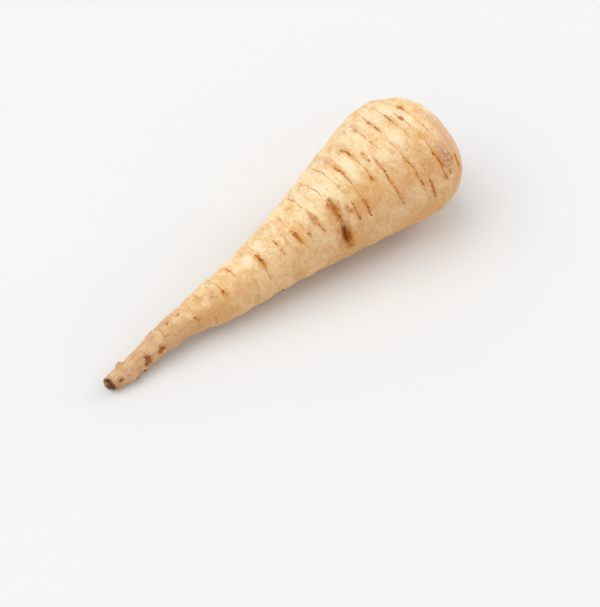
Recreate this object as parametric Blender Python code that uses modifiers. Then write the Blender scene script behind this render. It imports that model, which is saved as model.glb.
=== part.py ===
"""A parsnip: one whole taproot with its leaves trimmed off, lying on its side.

The root is one solid.  It is turned from a profile with a Screw modifier, and then the creases, the
side-root stubs and the leaf scars of the crown are raised from that surface, or sunk into it, by formulas.
Last, the root is bent a little along its length and laid on the plane Z = 0, where it rests on a small flat
spot under its belly and another under its tail.  The crown points to +X and the broken tip to -X.

Two coordinates place a feature on the root before it is bent and laid down:
    station  millimetres along the axis, 0 at the broken tip, growing towards the crown
    angle    degrees round the axis, 0 on top, growing towards -Y, 180 underneath
"""
import math
import random

import bpy
import numpy as np

MM = 0.001
OBJECT_NAME = "parsnip_root"
COLLECTION_NAME = "parsnip"

# The profile, in millimetres.  The body is a smooth curve through (station, radius) points, and the
# shoulder above it is a quarter of a superellipse that ends at the rim of the crown.
BODY_PROFILE = ((0.0, 2.7), (2.0, 3.9), (6.0, 4.7), (20.0, 5.4), (34.0, 6.9), (46.0, 7.6), (55.0, 8.5),
                (65.0, 10.8), (86.0, 13.4), (108.0, 16.6), (128.0, 20.2), (150.0, 25.0), (170.0, 29.6),
                (186.0, 33.0), (195.0, 33.7))
BELLY_STATION, BELLY_RADIUS = BODY_PROFILE[-1]
SHOULDER_RISE = 29.5
SHOULDER_POWER = 2.1
RIM_RADIUS = 22.5
# The crown inside the rim: (radius, height over the rim) of its face, its ring groove and its button.
CROWN_PROFILE = ((20.5, 0.5), (18.5, 0.9), (16.9, 1.0), (16.2, 0.2), (15.7, -2.4), (14.9, -4.2),
                 (14.0, -3.9), (13.3, -1.9), (12.7, -0.3), (11.6, 0.3), (10.2, 0.5), (8.8, 0.6),
                 (7.4, 0.6), (6.0, 0.5), (4.6, 0.4), (3.2, 0.3), (1.8, 0.2))
BUTTON_RADIUS = 12.7
# The broken end at the tip is a shallow cup that leans a little.
TIP_CUP = ((1.7, 0.3), (0.9, 0.8))
TIP_CUP_DEPTH = 1.0
TIP_LEAN = 0.7

# The centre line sways sideways: (station, offset), along a direction across the root and partly up.
SWAY = ((0.0, 0.4), (6.0, -0.6), (20.0, 0.1), (34.0, 1.5), (50.0, 1.7), (62.0, 0.8), (74.0, -0.2),
        (88.0, -0.7), (110.0, -0.3), (128.0, -0.3), (145.0, 0.1), (170.0, 0.7), (190.0, 0.6),
        (205.0, -0.3), (222.0, -1.0))
SWAY_Y, SWAY_Z = 0.85, 0.52

# The creases that ring the root, each an arc: (station, first angle, last angle, depth).
FRONT_CREASES = (
    (24.0, 40, 118, 0.50), (32.0, -60, -36, 0.40), (32.0, 46, 80, 0.50), (42.0, -62, -34, 0.40),
    (42.0, -16, 4, 0.35), (54.5, 32, 92, 0.65), (62.5, -40, 12, 0.50), (62.5, 70, 102, 0.60),
    (73.0, -40, 36, 0.70), (82.5, -42, 24, 0.50), (98.0, -16, 64, 0.90), (110.0, -48, 40, 0.65),
    (120.0, -34, 50, 0.80), (132.0, -50, 50, 0.65), (142.0, -46, 6, 0.55), (142.0, 14, 96, 0.95),
    (151.0, -46, 6, 0.60), (151.0, 26, 58, 0.65), (157.0, -30, 62, 0.80), (167.0, -22, 30, 0.80),
    (174.5, 6, 76, 0.65), (179.0, -30, 10, 0.80), (186.5, -30, 4, 0.90), (186.5, 20, 74, 0.80),
    (190.8, 44, 84, 0.65), (195.0, -34, 22, 0.70), (199.5, -14, 16, 0.50), (199.5, 30, 70, 0.85),
    (205.0, -14, 28, 0.60), (211.0, 38, 82, 0.70))
CREASE_WIDTH = 0.85
CREASE_FADE = 14.0
CREASE_FLANK = 1.2
# The side that faces away has creases at the same stations, drawn by chance from these ranges.
CREASE_SEED = 11
BACK_CHANCE, UNDER_CHANCE = 0.85, 0.45
BACK_START, BACK_LENGTH = (195.0, 235.0), (30.0, 75.0)
UNDER_START, UNDER_LENGTH = (112.0, 128.0), (20.0, 40.0)
DRAWN_DEPTH = (0.50, 0.85)

# Stubs of thin side roots: (station, angle, height), all with the same spread.
STUBS = ((6.0, 46, 0.7), (10.5, -62, 1.1), (13.5, 92, 0.9), (19.5, 98, 0.9), (33.0, 62, 0.6),
         (17.0, -150, 0.9), (28.0, 160, 0.8), (46.0, -120, 0.8), (57.0, 118, 0.6), (88.5, 118, 0.7),
         (101.0, 106, 0.7), (70.0, -140, 0.8), (118.0, -112, 0.7))
STUB_SPREAD = 1.7

# Leaf scars on the button: oval rims (across, up, half width, half height, turn in degrees, height).
LEAF_SCARS = ((-1.5, -6.6, 5.0, 3.6, 12, 1.0), (-6.2, 2.6, 3.6, 4.8, 20, 0.8), (2.6, 7.0, 4.6, 3.2, -20, 0.8),
              (7.0, -0.6, 3.0, 4.8, -8, 0.8), (0.4, 0.8, 2.6, 2.8, 0, 0.9))
SCAR_RIM = 0.28

# How far the round section strays from a circle, as shares of the radius, and the waves along the root.
OVAL_SHARE, LOBE_SHARE = 0.011, 0.008
WAVE_HEIGHT, WAVE_LENGTH = 0.20, 13.0
# The creases wander this far to either side of their stations.
WANDER = 0.7

STEPS_ROUND = 44
RING_GAP = 4.0
MERGE_DISTANCE = 0.00002
# How far the root is pressed into the ground, which gives the two flat spots that it rests on.
PRESS = 0.6
TAIL_END = 40.0
STEEPEST_TILT = 20.0
TILT_STEPS = 40

SKIN_COLOUR = (0.80, 0.60, 0.36, 1.0)
SKIN_ROUGHNESS = 0.48


def smooth_through(points, at):
    """Value at one or more stations of a cubic curve through the given (station, value) points."""
    stations, values = np.array(points).T
    slopes = np.gradient(values, stations)
    left = np.clip(np.searchsorted(stations, at) - 1, 0, len(stations) - 2)
    span = stations[left + 1] - stations[left]
    t = (np.clip(at, stations[0], stations[-1]) - stations[left]) / span
    start = (1 + 2 * t) * (1 - t) ** 2 * values[left] + t * (1 - t) ** 2 * span * slopes[left]
    end = t * t * (3 - 2 * t) * values[left + 1] + t * t * (t - 1) * span * slopes[left + 1]
    return start + end


def shoulder_radius(station):
    """Radius of the superellipse above the belly."""
    rise = np.clip((station - BELLY_STATION) / SHOULDER_RISE, 0.0, 1.0)
    return BELLY_RADIUS * (1.0 - rise ** SHOULDER_POWER) ** (1.0 / SHOULDER_POWER)


def radius_at(station):
    """Radius of the root at a station, from the tip to the rim of the crown."""
    if station <= BELLY_STATION:
        return float(smooth_through(BODY_PROFILE, station))
    return float(shoulder_radius(station))


def rim_station():
    """Station where the shoulder has narrowed to the rim of the crown."""
    share = RIM_RADIUS / BELLY_RADIUS
    return BELLY_STATION + SHOULDER_RISE * (1.0 - share ** SHOULDER_POWER) ** (1.0 / SHOULDER_POWER)


def crease_stations():
    """Every station that has a crease, from the tip to the crown."""
    return sorted({crease[0] for crease in FRONT_CREASES})


def all_creases():
    """The creases in front, and those drawn for the back and for the lower flank."""
    draw = random.Random(CREASE_SEED)
    drawn = []
    for station in crease_stations():
        for chance, starts, lengths in ((BACK_CHANCE, BACK_START, BACK_LENGTH),
                                        (UNDER_CHANCE, UNDER_START, UNDER_LENGTH)):
            start = draw.uniform(*starts)
            end = start + draw.uniform(*lengths)
            depth = draw.uniform(*DRAWN_DEPTH)
            if draw.random() < chance:
                drawn.append((station, start, end, depth))
    return list(FRONT_CREASES) + drawn


def ring_stations():
    """Stations of the rings: three across each crease, and enough others to keep to the ring gap."""
    marks = [0.0] + [station for station, _radius in BODY_PROFILE[1:3]]
    for station in crease_stations():
        marks += [station - CREASE_FLANK, station, station + CREASE_FLANK]
    marks.append(rim_station())
    rings = marks[:1]
    for mark in marks[1:]:
        run = math.hypot(mark - rings[-1], radius_at(mark) - radius_at(rings[-1]))
        pieces = math.ceil(run / RING_GAP)
        rings.extend(np.linspace(rings[-1], mark, pieces + 1)[1:].tolist())
    return rings


def profile_points():
    """(radius, station) down the outside, from the middle of the crown to the middle of the tip."""
    rim = rim_station()
    points = [(0.0, rim + CROWN_PROFILE[-1][1])]
    points += [(radius, rim + height) for radius, height in reversed(CROWN_PROFILE)]
    points += [(radius_at(station), station) for station in reversed(ring_stations())]
    points += list(TIP_CUP)
    points.append((0.0, TIP_CUP_DEPTH))
    return points


def turned_mesh():
    """The profile turned round the Z axis, as one closed mesh in metres."""
    points = [(radius * MM, 0.0, station * MM) for radius, station in profile_points()]
    edges = [(index, index + 1) for index in range(len(points) - 1)]
    profile = bpy.data.meshes.new("root_profile")
    profile.from_pydata(points, edges, [])
    turned = bpy.data.objects.new("root_profile", profile)
    bpy.context.scene.collection.objects.link(turned)
    screw = turned.modifiers.new("turn", "SCREW")
    screw.steps = STEPS_ROUND
    screw.render_steps = STEPS_ROUND
    screw.use_merge_vertices = True
    screw.merge_threshold = MERGE_DISTANCE
    graph = bpy.context.evaluated_depsgraph_get()
    mesh = bpy.data.meshes.new_from_object(turned.evaluated_get(graph))
    bpy.data.objects.remove(turned)
    bpy.data.meshes.remove(profile)
    return mesh


def smooth_step(value):
    """0 below 0, 1 above 1, and a smooth rise between them."""
    t = np.clip(value, 0.0, 1.0)
    return t * t * (3.0 - 2.0 * t)


def angle_between(angle, other):
    """Degrees from one angle to another, from -180 to 180."""
    return (angle - other + 180.0) % 360.0 - 180.0


def crease_relief(station, angle):
    """Each crease is a groove with low lips, (1 - u^2) exp(-u^2) across, that fades out at both ends."""
    relief = np.zeros_like(station)
    for place, first, last, depth in all_creases():
        across = (station - place) / CREASE_WIDTH
        half = 0.5 * (last - first)
        from_end = half - np.abs(angle_between(angle, first + half))
        along = smooth_step(0.5 + from_end / CREASE_FADE)
        relief -= depth * along * (1.0 - across ** 2) * np.exp(-across ** 2)
    return relief


def stub_relief(station, angle, radius):
    """Each side-root stub is a round bump."""
    relief = np.zeros_like(station)
    for place, side, height in STUBS:
        around = radius * np.radians(angle_between(angle, side))
        relief += height * np.exp(-((station - place) ** 2 + around ** 2) / STUB_SPREAD ** 2)
    return relief


def unevenness(station, angle, radius):
    """A slightly oval and three-lobed section that turns along the root, and shallow waves along it."""
    turn = np.radians(angle)
    oval = OVAL_SHARE * radius * np.cos(2.0 * turn - 0.7 + station / 60.0)
    lobes = LOBE_SHARE * radius * np.cos(3.0 * turn + 1.1 - station / 45.0)
    waves = WAVE_HEIGHT * np.sin(2.0 * math.pi * station / WAVE_LENGTH + 1.3 * np.sin(turn))
    return oval + lobes + waves


def scar_relief(across, up):
    """Each leaf scar is an oval rim raised from the button."""
    relief = np.zeros_like(across)
    for place_across, place_up, half_width, half_height, turn, height in LEAF_SCARS:
        cosine, sine = math.cos(math.radians(turn)), math.sin(math.radians(turn))
        u = (cosine * (across - place_across) + sine * (up - place_up)) / half_width
        v = (cosine * (up - place_up) - sine * (across - place_across)) / half_height
        rim = height * np.exp(-((np.hypot(u, v) - 1.0) / SCAR_RIM) ** 2)
        relief = np.maximum(relief, rim)
    return relief


def shape_surface(radius, angle, station):
    """The turned surface with its relief, its leaning tip and its wandering creases."""
    rim = rim_station()
    turn = np.radians(angle)
    on_crown = (radius < RIM_RADIUS) & (station > BELLY_STATION)
    body = np.where(on_crown, 0.0, smooth_step((rim - station) / CREASE_FLANK ** 2))
    body *= smooth_step(station)
    relief = crease_relief(station, angle) + unevenness(station, angle, radius)
    relief += stub_relief(station, angle, radius)
    scars = scar_relief(radius * np.sin(turn), radius * np.cos(turn))
    scars *= on_crown * smooth_step((BUTTON_RADIUS - radius) / CREASE_FLANK)
    lean = TIP_LEAN * np.cos(turn - 0.5) * radius / BODY_PROFILE[0][1] * smooth_step(1.0 - station / 2.0)
    wander = WANDER * np.sin(2.0 * turn + station / 11.0)
    wander *= body * smooth_step(station / 12.0) * smooth_step((rim - station) / 12.0)
    return radius + body * relief, station + scars + lean + wander


def lay_down(points):
    """Tilt the root so that its tail and its belly touch the ground, press it in, and centre it."""
    x, z = points[:, 0].copy(), points[:, 2].copy()
    is_tail = x < TAIL_END
    low, high = 0.0, math.radians(STEEPEST_TILT)
    for _step in range(TILT_STEPS):
        tilt = 0.5 * (low + high)
        heights = x * math.sin(tilt) + z * math.cos(tilt)
        if heights[is_tail].min() > heights[~is_tail].min():
            low = tilt
        else:
            high = tilt
    points[:, 0] = x * math.cos(tilt) - z * math.sin(tilt)
    points[:, 2] = np.maximum(heights - heights.min() - PRESS, 0.0)
    points[:, :2] -= 0.5 * (points[:, :2].min(axis=0) + points[:, :2].max(axis=0))
    return points


def root_points(turned):
    """Places of the turned mesh's vertices, in millimetres, on the finished root."""
    radius = np.hypot(turned[:, 0], turned[:, 1])
    angle = np.degrees(np.arctan2(turned[:, 1], turned[:, 0]))
    radius, station = shape_surface(radius, angle, turned[:, 2])
    sway = smooth_through(SWAY, station)
    turn = np.radians(angle)
    y = sway * SWAY_Y - radius * np.sin(turn)
    z = sway * SWAY_Z + radius * np.cos(turn)
    return lay_down(np.stack([station, y, z], axis=1))


def skin_material():
    """Pale cream skin with a soft sheen."""
    material = bpy.data.materials.new("parsnip_skin")
    material.use_nodes = True
    shader = material.node_tree.nodes["Principled BSDF"]
    shader.inputs["Base Color"].default_value = SKIN_COLOUR
    shader.inputs["Roughness"].default_value = SKIN_ROUGHNESS
    shader.inputs["Metallic"].default_value = 0.0
    return material


def build_root(collection):
    """The parsnip root, laid down, in its own object."""
    mesh = turned_mesh()
    mesh.name = OBJECT_NAME
    turned = np.empty(len(mesh.vertices) * 3)
    mesh.vertices.foreach_get("co", turned)
    placed = root_points(turned.reshape(-1, 3) / MM) * MM
    mesh.vertices.foreach_set("co", placed.ravel())
    mesh.update()
    mesh.shade_smooth()
    mesh.materials.append(skin_material())
    root = bpy.data.objects.new(OBJECT_NAME, mesh)
    collection.objects.link(root)
    return root


def main():
    """Clear the scene and build the parsnip in a collection of its own."""
    for old in list(bpy.data.objects):
        bpy.data.objects.remove(old)
    collection = bpy.data.collections.new(COLLECTION_NAME)
    bpy.context.scene.collection.children.link(collection)
    build_root(collection)


main()
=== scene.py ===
"""Looks of a parsnip: one trimmed taproot, lying on its side on a pale floor in soft studio light.

The root's fine surface follows the same form as its solid and stands in for it.  Lengths inside the form
are in millimetres and angles in degrees, on two coordinates that belong to the root before it is laid down:
    station  along the axis, 0 at the broken tip, growing towards the crown
    angle    round the axis, 0 on top, growing towards -Y, 180 underneath
"""
import logging
import math
import random
from dataclasses import dataclass, field
from enum import Enum
from functools import reduce

import bpy
import numpy as np
from mathutils import Euler, Matrix, Vector


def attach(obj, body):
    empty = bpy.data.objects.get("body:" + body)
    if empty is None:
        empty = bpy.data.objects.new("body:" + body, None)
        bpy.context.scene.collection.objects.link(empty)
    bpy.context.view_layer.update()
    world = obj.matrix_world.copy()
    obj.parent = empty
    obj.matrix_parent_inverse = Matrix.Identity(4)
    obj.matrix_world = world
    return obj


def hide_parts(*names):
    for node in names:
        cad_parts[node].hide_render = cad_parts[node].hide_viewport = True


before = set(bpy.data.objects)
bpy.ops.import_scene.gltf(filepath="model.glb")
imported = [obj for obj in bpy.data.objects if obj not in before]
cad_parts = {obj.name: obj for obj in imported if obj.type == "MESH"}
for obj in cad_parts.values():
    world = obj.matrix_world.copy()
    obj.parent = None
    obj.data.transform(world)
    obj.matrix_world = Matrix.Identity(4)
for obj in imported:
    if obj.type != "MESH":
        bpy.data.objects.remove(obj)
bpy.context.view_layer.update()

MM = 0.001
CAD_NODE = "parsnip_root"
BODY = "root"
log = logging.getLogger("parsnip")

Colour = tuple[float, float, float, float]
Triple = tuple[float, float, float]
Pair = tuple[float, float]
Points = tuple[Pair, ...]


# ---------------------------------------------------------------------------------------------------------
# Arithmetic on arrays
# ---------------------------------------------------------------------------------------------------------

def tone(red: int, green: int, blue: int) -> Colour:
    """Linear colour, with alpha, of an 8-bit display colour.

    Args:
        red: Red, 0 to 255.
        green: Green, 0 to 255.
        blue: Blue, 0 to 255.

    Returns:
        The colour that a shader takes.
    """
    shares = np.array([red, green, blue]) / 255.0
    linear = np.where(shares <= 0.04045, shares / 12.92, ((shares + 0.055) / 1.055) ** 2.4)
    return (*linear.tolist(), 1.0)


def ramp(value: np.ndarray, start: float | np.ndarray, over: float) -> np.ndarray:
    """0 before the start, 1 once past it by over, and the cubic 3t^2 - 2t^3 of the share t between them.

    Args:
        value: Numbers.
        start: Where the ramp leaves 0.
        over: How far it takes to reach 1, below 0 for a ramp that falls as the value grows.

    Returns:
        The ramp's height at each number.
    """
    t = np.clip((value - start) / over, 0.0, 1.0)
    return t * t * (3.0 - 2.0 * t)


def bell(distance: np.ndarray, width: float) -> np.ndarray:
    """The bell curve exp(-(distance / width)^2)."""
    return np.exp(-(distance / width) ** 2)


def circle(count: int) -> np.ndarray:
    """Radians at even steps round a circle."""
    return np.linspace(0.0, 2.0 * math.pi, count, endpoint=False)


def angle_between(angle: np.ndarray, other: float) -> np.ndarray:
    """Degrees from one angle to another, from -180 to 180."""
    return (angle - other + 180.0) % 360.0 - 180.0


def arc_window(angle: np.ndarray, first: float, last: float, fade: float) -> np.ndarray:
    """1 on the arc between two angles, falling smoothly to 0 across a fade centred on each end."""
    half = 0.5 * (last - first)
    return ramp(np.abs(angle_between(angle, first + half)), half + 0.5 * fade, -fade)


def about_axis(station: np.ndarray, radius: np.ndarray, turn: np.ndarray) -> np.ndarray:
    """Points x, y, z at a station and a radius, turned by radians round the axis from the top towards -Y."""
    return np.stack(np.broadcast_arrays(station, -radius * np.sin(turn), radius * np.cos(turn)), axis=-1)


def smooth_through(points: Points, at: np.ndarray) -> np.ndarray:
    """Value of a cubic Hermite curve through (place, value) points, with central-difference slopes.

    Args:
        points: The points, in order of place.
        at: Places to look up; those outside the points read the nearest end.

    Returns:
        The curve's value at each place.
    """
    places, values = np.array(points, dtype=float).T
    slopes = np.gradient(values, places)
    left = np.clip(np.searchsorted(places, at) - 1, 0, len(places) - 2)
    span = places[left + 1] - places[left]
    t = (np.clip(at, places[0], places[-1]) - places[left]) / span
    start = (1 + 2 * t) * (1 - t) ** 2 * values[left] + t * (1 - t) ** 2 * span * slopes[left]
    end = t * t * (3 - 2 * t) * values[left + 1] + t * t * (t - 1) * span * slopes[left + 1]
    return start + end


def resample(points: np.ndarray, gap: float) -> np.ndarray:
    """Points at even steps along the smooth curve through corner points, a cubic in the chord length.

    Args:
        points: Corner points, one row each.
        gap: Largest step along the chord.

    Returns:
        The new points, first and last kept.
    """
    chord = np.concatenate([[0.0], np.cumsum(np.linalg.norm(np.diff(points, axis=0), axis=1))])
    at = np.linspace(0.0, chord[-1], math.ceil(chord[-1] / gap) + 1)
    return np.stack([smooth_through(tuple(zip(chord, column)), at) for column in points.T], axis=1)


class Noise(Enum):
    """The noises of the root's relief: the seed of each, and the shortest and the longest of its waves."""

    UNEVEN = (31, 2.5, 9.0)
    LUMPS = (32, 6.0, 24.0)
    GRAIN = (33, 1.6, 4.0)
    DRIFT = (34, 12.0, 40.0)
    PATCHES = (35, 14.0, 45.0)
    TIP = (36, 1.2, 4.5)
    WANDER = (37, 5.0, 16.0)
    GROOVE_RAGGED = (41, 1.4, 5.0)
    CRUMBS = (42, 0.9, 3.2)
    FACE = (43, 0.8, 2.6)
    SCAR_ACROSS = (44, 3.0, 12.0)
    SCAR_UP = (45, 3.0, 12.0)
    GROOVE_SLOW = (46, 7.0, 24.0)

    def at(self, points: np.ndarray, waves: int = 36) -> np.ndarray:
        """Smooth noise of unit spread.

        It is the sum of sin(k.p + phase) over plane waves, divided by the root of half their number.

        Args:
            points: Places in millimetres, last axis x, y, z.
            waves: How many waves, each with a direction, a length and a phase drawn from the seed.

        Returns:
            One value for each point.
        """
        seed, shortest, longest = self.value
        draw = np.random.default_rng(seed)
        direction = draw.normal(size=(waves, 3))
        direction /= np.linalg.norm(direction, axis=1, keepdims=True)
        length = np.exp(draw.uniform(math.log(shortest), math.log(longest), waves))
        phases = draw.uniform(0.0, 2.0 * math.pi, waves)
        total = np.zeros(points.shape[:-1])
        for number, phase in zip(direction * (2.0 * math.pi / length)[:, None], phases):
            total += np.sin(points @ number + phase)
        return total / math.sqrt(waves / 2.0)


@dataclass(frozen=True)
class Places:
    """Places on the root's plain skin: arrays of one shape, and whether each is inside the crown's rim."""

    station: np.ndarray
    angle: np.ndarray
    radius: np.ndarray
    inside: np.ndarray

    @property
    def turn(self) -> np.ndarray:
        """The angle in radians."""
        return np.radians(self.angle)

    def from_spot(self, station: float, angle: float, along: float, around: float) -> np.ndarray:
        """Distance over the skin from a place, as a share of the half sizes of an oval round it."""
        side = self.radius * np.radians(angle_between(self.angle, angle))
        return np.hypot((self.station - station) / along, side / around)


# ---------------------------------------------------------------------------------------------------------
# Creases and spots
# ---------------------------------------------------------------------------------------------------------

@dataclass(frozen=True)
class Run:
    """A stretch of a crease with a colour of its own: its arc, its darkness and its half width."""

    first: float
    last: float
    shade: float
    width: float


@dataclass(frozen=True)
class Crease:
    """One transverse crease: its arc at a station, its depth, and the dark runs along it."""

    station: float
    first: float
    last: float
    depth: float
    shade: float = 0.5
    width: float = 0.5
    runs: tuple[Run, ...] = ()


class Blemish(Enum):
    """Kinds of spot on the skin, each stored as an attribute of this name. Some of them also paint light or
    shade, as noted where they are listed.
    """

    STAIN = "stain"
    SHADE = "shade"
    RUST = "rust"
    LILAC = "lilac"
    CORK = "cork"
    SOOT = "soot"
    GOLD = "gold"
    # Pale spots paint a highlight along the lit top, partly pale skin.
    PALE_AND_HIGHLIGHT = "pale"
    NODE = "node"


# Station, angle, half size along the root, half size round it, and strength.
Spot = tuple[float, float, float, float, float]

FRONT_CREASES = (
    Crease(24.0, 40, 118, 0.50, 0.60, 0.7, (Run(44, 74, 0.9, 0.9),)),
    Crease(32.0, -60, -36, 0.40, 0.60, 0.8),
    Crease(32.0, 46, 80, 0.50, 0.75, 0.9, (Run(52, 68, 1.0, 1.1),)),
    Crease(42.0, -62, -34, 0.40, 0.65, 0.8),
    Crease(42.0, -16, 4, 0.35, 0.45, 0.6),
    Crease(54.5, 32, 92, 0.65, 0.60, 0.6, (Run(36, 60, 0.85, 0.8),)),
    Crease(62.5, -40, 12, 0.50, 0.45, 0.5),
    Crease(62.5, 70, 102, 0.60, 0.65, 0.6),
    Crease(73.0, -40, 36, 0.70, 0.50, 0.5, (Run(14, 36, 0.9, 0.75),)),
    Crease(82.5, -42, 24, 0.50, 0.45, 0.5, (Run(-30, -8, 0.6, 0.6),)),
    Crease(98.0, -16, 64, 0.90, 0.50, 0.5, (Run(2, 34, 1.0, 0.9),)),
    Crease(110.0, -48, 40, 0.65, 0.40, 0.4, (Run(6, 38, 0.75, 0.65),)),
    Crease(120.0, -34, 50, 0.80, 0.50, 0.5, (Run(10, 42, 1.0, 0.9),)),
    Crease(132.0, -50, 50, 0.65, 0.45, 0.4, (Run(8, 48, 0.75, 0.55),)),
    Crease(142.0, -46, 6, 0.55, 0.50, 0.5),
    Crease(142.0, 14, 96, 0.95, 0.50, 0.7, (Run(14, 44, 0.75, 1.0), Run(58, 92, 1.0, 1.3))),
    Crease(151.0, -46, 6, 0.60, 0.55, 0.5),
    Crease(151.0, 26, 58, 0.65, 0.55, 0.6, (Run(38, 60, 0.8, 0.55),)),
    Crease(157.0, -30, 62, 0.80, 0.40, 0.4, (Run(-16, 10, 0.85, 0.7), Run(36, 62, 0.95, 0.8))),
    Crease(167.0, -22, 30, 0.80, 0.60, 0.5, (Run(-16, 2, 0.95, 0.7), Run(26, 32, 1.0, 0.9))),
    Crease(171.0, -4, 14, 0.45, 0.30, 0.6, (Run(0, 14, 0.5, 0.9),)),
    Crease(174.5, 6, 76, 0.65, 0.40, 0.35, (Run(16, 72, 0.8, 0.5),)),
    Crease(179.0, -30, 10, 0.80, 0.65, 0.8),
    Crease(186.5, -30, 4, 0.90, 0.60, 0.45, (Run(-24, -4, 1.0, 0.6),)),
    Crease(186.5, 0, 74, 0.80, 0.40, 0.35, (Run(30, 66, 0.85, 0.6),)),
    Crease(190.8, 44, 84, 0.65, 0.50, 0.4, (Run(62, 84, 0.9, 0.6),)),
    Crease(195.0, -34, 22, 0.70, 0.50, 0.45, (Run(-16, 2, 0.9, 0.7),)),
    Crease(199.5, -14, 16, 0.50, 0.45, 0.5),
    Crease(199.5, 30, 70, 0.85, 0.65, 0.6, (Run(40, 62, 0.85, 0.8),)),
    Crease(205.0, -14, 28, 0.60, 0.45, 0.45),
    Crease(211.0, 38, 82, 0.70, 0.70, 0.5, (Run(56, 80, 0.95, 0.7),)),
)

FRONT_SPOTS: dict[Blemish, tuple[Spot, ...]] = {
    Blemish.RUST: (
        (205.0, -13, 1.5, 2.6, 1.0), (199.5, 0, 1.4, 2.4, 0.9)),
    Blemish.CORK: (
        (204.5, 54, 3.0, 9.0, 1.0), (68.0, 15, 1.6, 3.0, 0.7)),
    Blemish.STAIN: (
        (203.0, 66, 2.0, 5.0, 0.7), (200.5, 56, 1.8, 6.0, 0.6), (207.5, 58, 1.2, 6.0, 0.5),
        (199.5, 69, 2.2, 3.0, 1.0), (143.2, 22, 1.1, 5.5, 0.95), (141.5, 31, 1.6, 4.5, 0.75),
        (148.5, 40, 2.0, 5.0, 0.6), (141.5, 47, 2.2, 6.0, 0.6), (140.5, 66, 3.2, 9.0, 0.8),
        (131.0, 22, 1.2, 4.0, 0.6), (165.5, -18, 1.6, 4.0, 0.8), (98.6, 16, 1.4, 4.0, 0.8),
        (151.0, 52, 1.8, 3.0, 0.35), (171.5, 5, 1.0, 3.0, 0.55), (171.5, 14, 0.9, 1.2, 0.9),
        (125.5, 34, 1.4, 2.0, 0.8), (125.0, 46, 1.2, 2.0, 0.6), (49.5, -56, 1.2, 1.4, 1.0),
        (49.5, -8, 1.0, 1.3, 1.1), (42.0, -8, 1.3, 1.8, 1.1), (31.0, 72, 1.4, 2.0, 1.0),
        (24.0, 66, 2.2, 2.6, 1.1), (38.0, 20, 1.4, 2.4, 0.6), (33.0, -46, 1.4, 1.6, 0.9),
        (5.0, 60, 1.6, 2.0, 0.8)),
    Blemish.SHADE: (
        (142.0, 28, 4.0, 7.0, 1.0), (142.0, 46, 4.0, 9.0, 0.9), (140.0, 66, 4.5, 9.0, 1.1),
        (131.0, 22, 2.5, 6.0, 0.7), (163.0, -20, 2.2, 5.0, 0.55), (174.0, -37, 3.5, 6.0, 0.35),
        (150.0, -32, 3.0, 7.0, 0.50), (141.0, -32, 3.0, 8.0, 0.50), (133.0, -27, 3.0, 7.0, 0.50),
        (148.0, 38, 2.5, 5.0, 0.55), (151.0, 14, 2.0, 5.0, 0.45), (157.0, 13, 2.0, 5.0, 0.45),
        (126.0, 29, 2.5, 6.0, 0.50), (116.0, 15, 2.5, 6.0, 0.50), (108.0, -24, 2.5, 6.0, 0.40),
        (71.0, -19, 3.0, 5.0, 0.45)),
    Blemish.SOOT: (
        (140.6, 65, 1.9, 7.0, 1.2), (98.3, 15, 0.8, 1.6, 0.8), (119.6, 26, 0.8, 1.8, 0.8),
        (157.0, 52, 0.8, 1.6, 0.7), (151.0, 57, 1.0, 1.2, 0.9), (167.0, 30, 0.8, 1.1, 0.9)),
    Blemish.LILAC: (
        (179.5, -27, 3.0, 7.0, 0.8), (168.0, -24, 3.0, 6.0, 0.7), (158.0, -30, 3.0, 8.0, 0.8),
        # The last two lilac spots, on the crown end's upper rim, are painted shade.
        (176.0, 66, 6.0, 10.0, 0.5), (213.0, 12, 4.5, 12.0, 0.7), (212.0, 36, 4.5, 11.0, 0.75)),
    Blemish.GOLD: (
        (166.0, 38, 9.0, 11.0, 0.4), (200.0, 24, 2.5, 3.5, 0.8), (206.0, 60, 5.0, 6.0, 0.6),
        # The gold spots at stations 180 and 189, low on the far side, are painted warm reflected light.
        (180.0, 100, 16.0, 10.0, 0.6), (165.0, -34, 6.0, 7.0, 0.6), (189.0, 92, 6.0, 9.0, 0.7),
        (197.0, 63, 3.0, 6.0, 0.6), (128.0, -22, 4.0, 5.0, 0.7)),
    # Pale spots: painted highlights, partly pale skin.
    Blemish.PALE_AND_HIGHLIGHT: (
        (197.0, -15, 7.0, 8.0, 1.0), (189.0, 10, 4.5, 6.0, 0.9), (201.0, 4, 5.0, 7.0, 0.8),
        (175.0, 4, 3.0, 6.0, 0.6), (162.0, 6, 3.5, 7.0, 0.8), (142.5, -4, 3.5, 5.0, 0.8),
        (136.0, -20, 4.0, 5.0, 0.6), (127.0, 70, 9.0, 14.0, 0.35), (157.0, 60, 7.0, 10.0, 0.30),
        (186.0, -20, 3.0, 5.0, 0.6), (204.0, 72, 3.0, 5.0, 0.5), (114.0, -8, 4.0, 5.0, 0.5),
        (101.0, -10, 5.0, 5.0, 0.6), (91.5, 2, 4.0, 5.0, 0.8)),
    Blemish.NODE: (
        (32.5, 60, 1.9, 2.3, 1.0), (23.5, 55, 1.8, 3.0, 1.0), (22.0, 76, 1.3, 1.8, 0.8),
        (6.0, 46, 1.5, 1.7, 0.9), (10.5, -62, 1.6, 1.6, 0.5), (2.0, 66, 2.0, 3.0, 0.6)),
}


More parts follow.
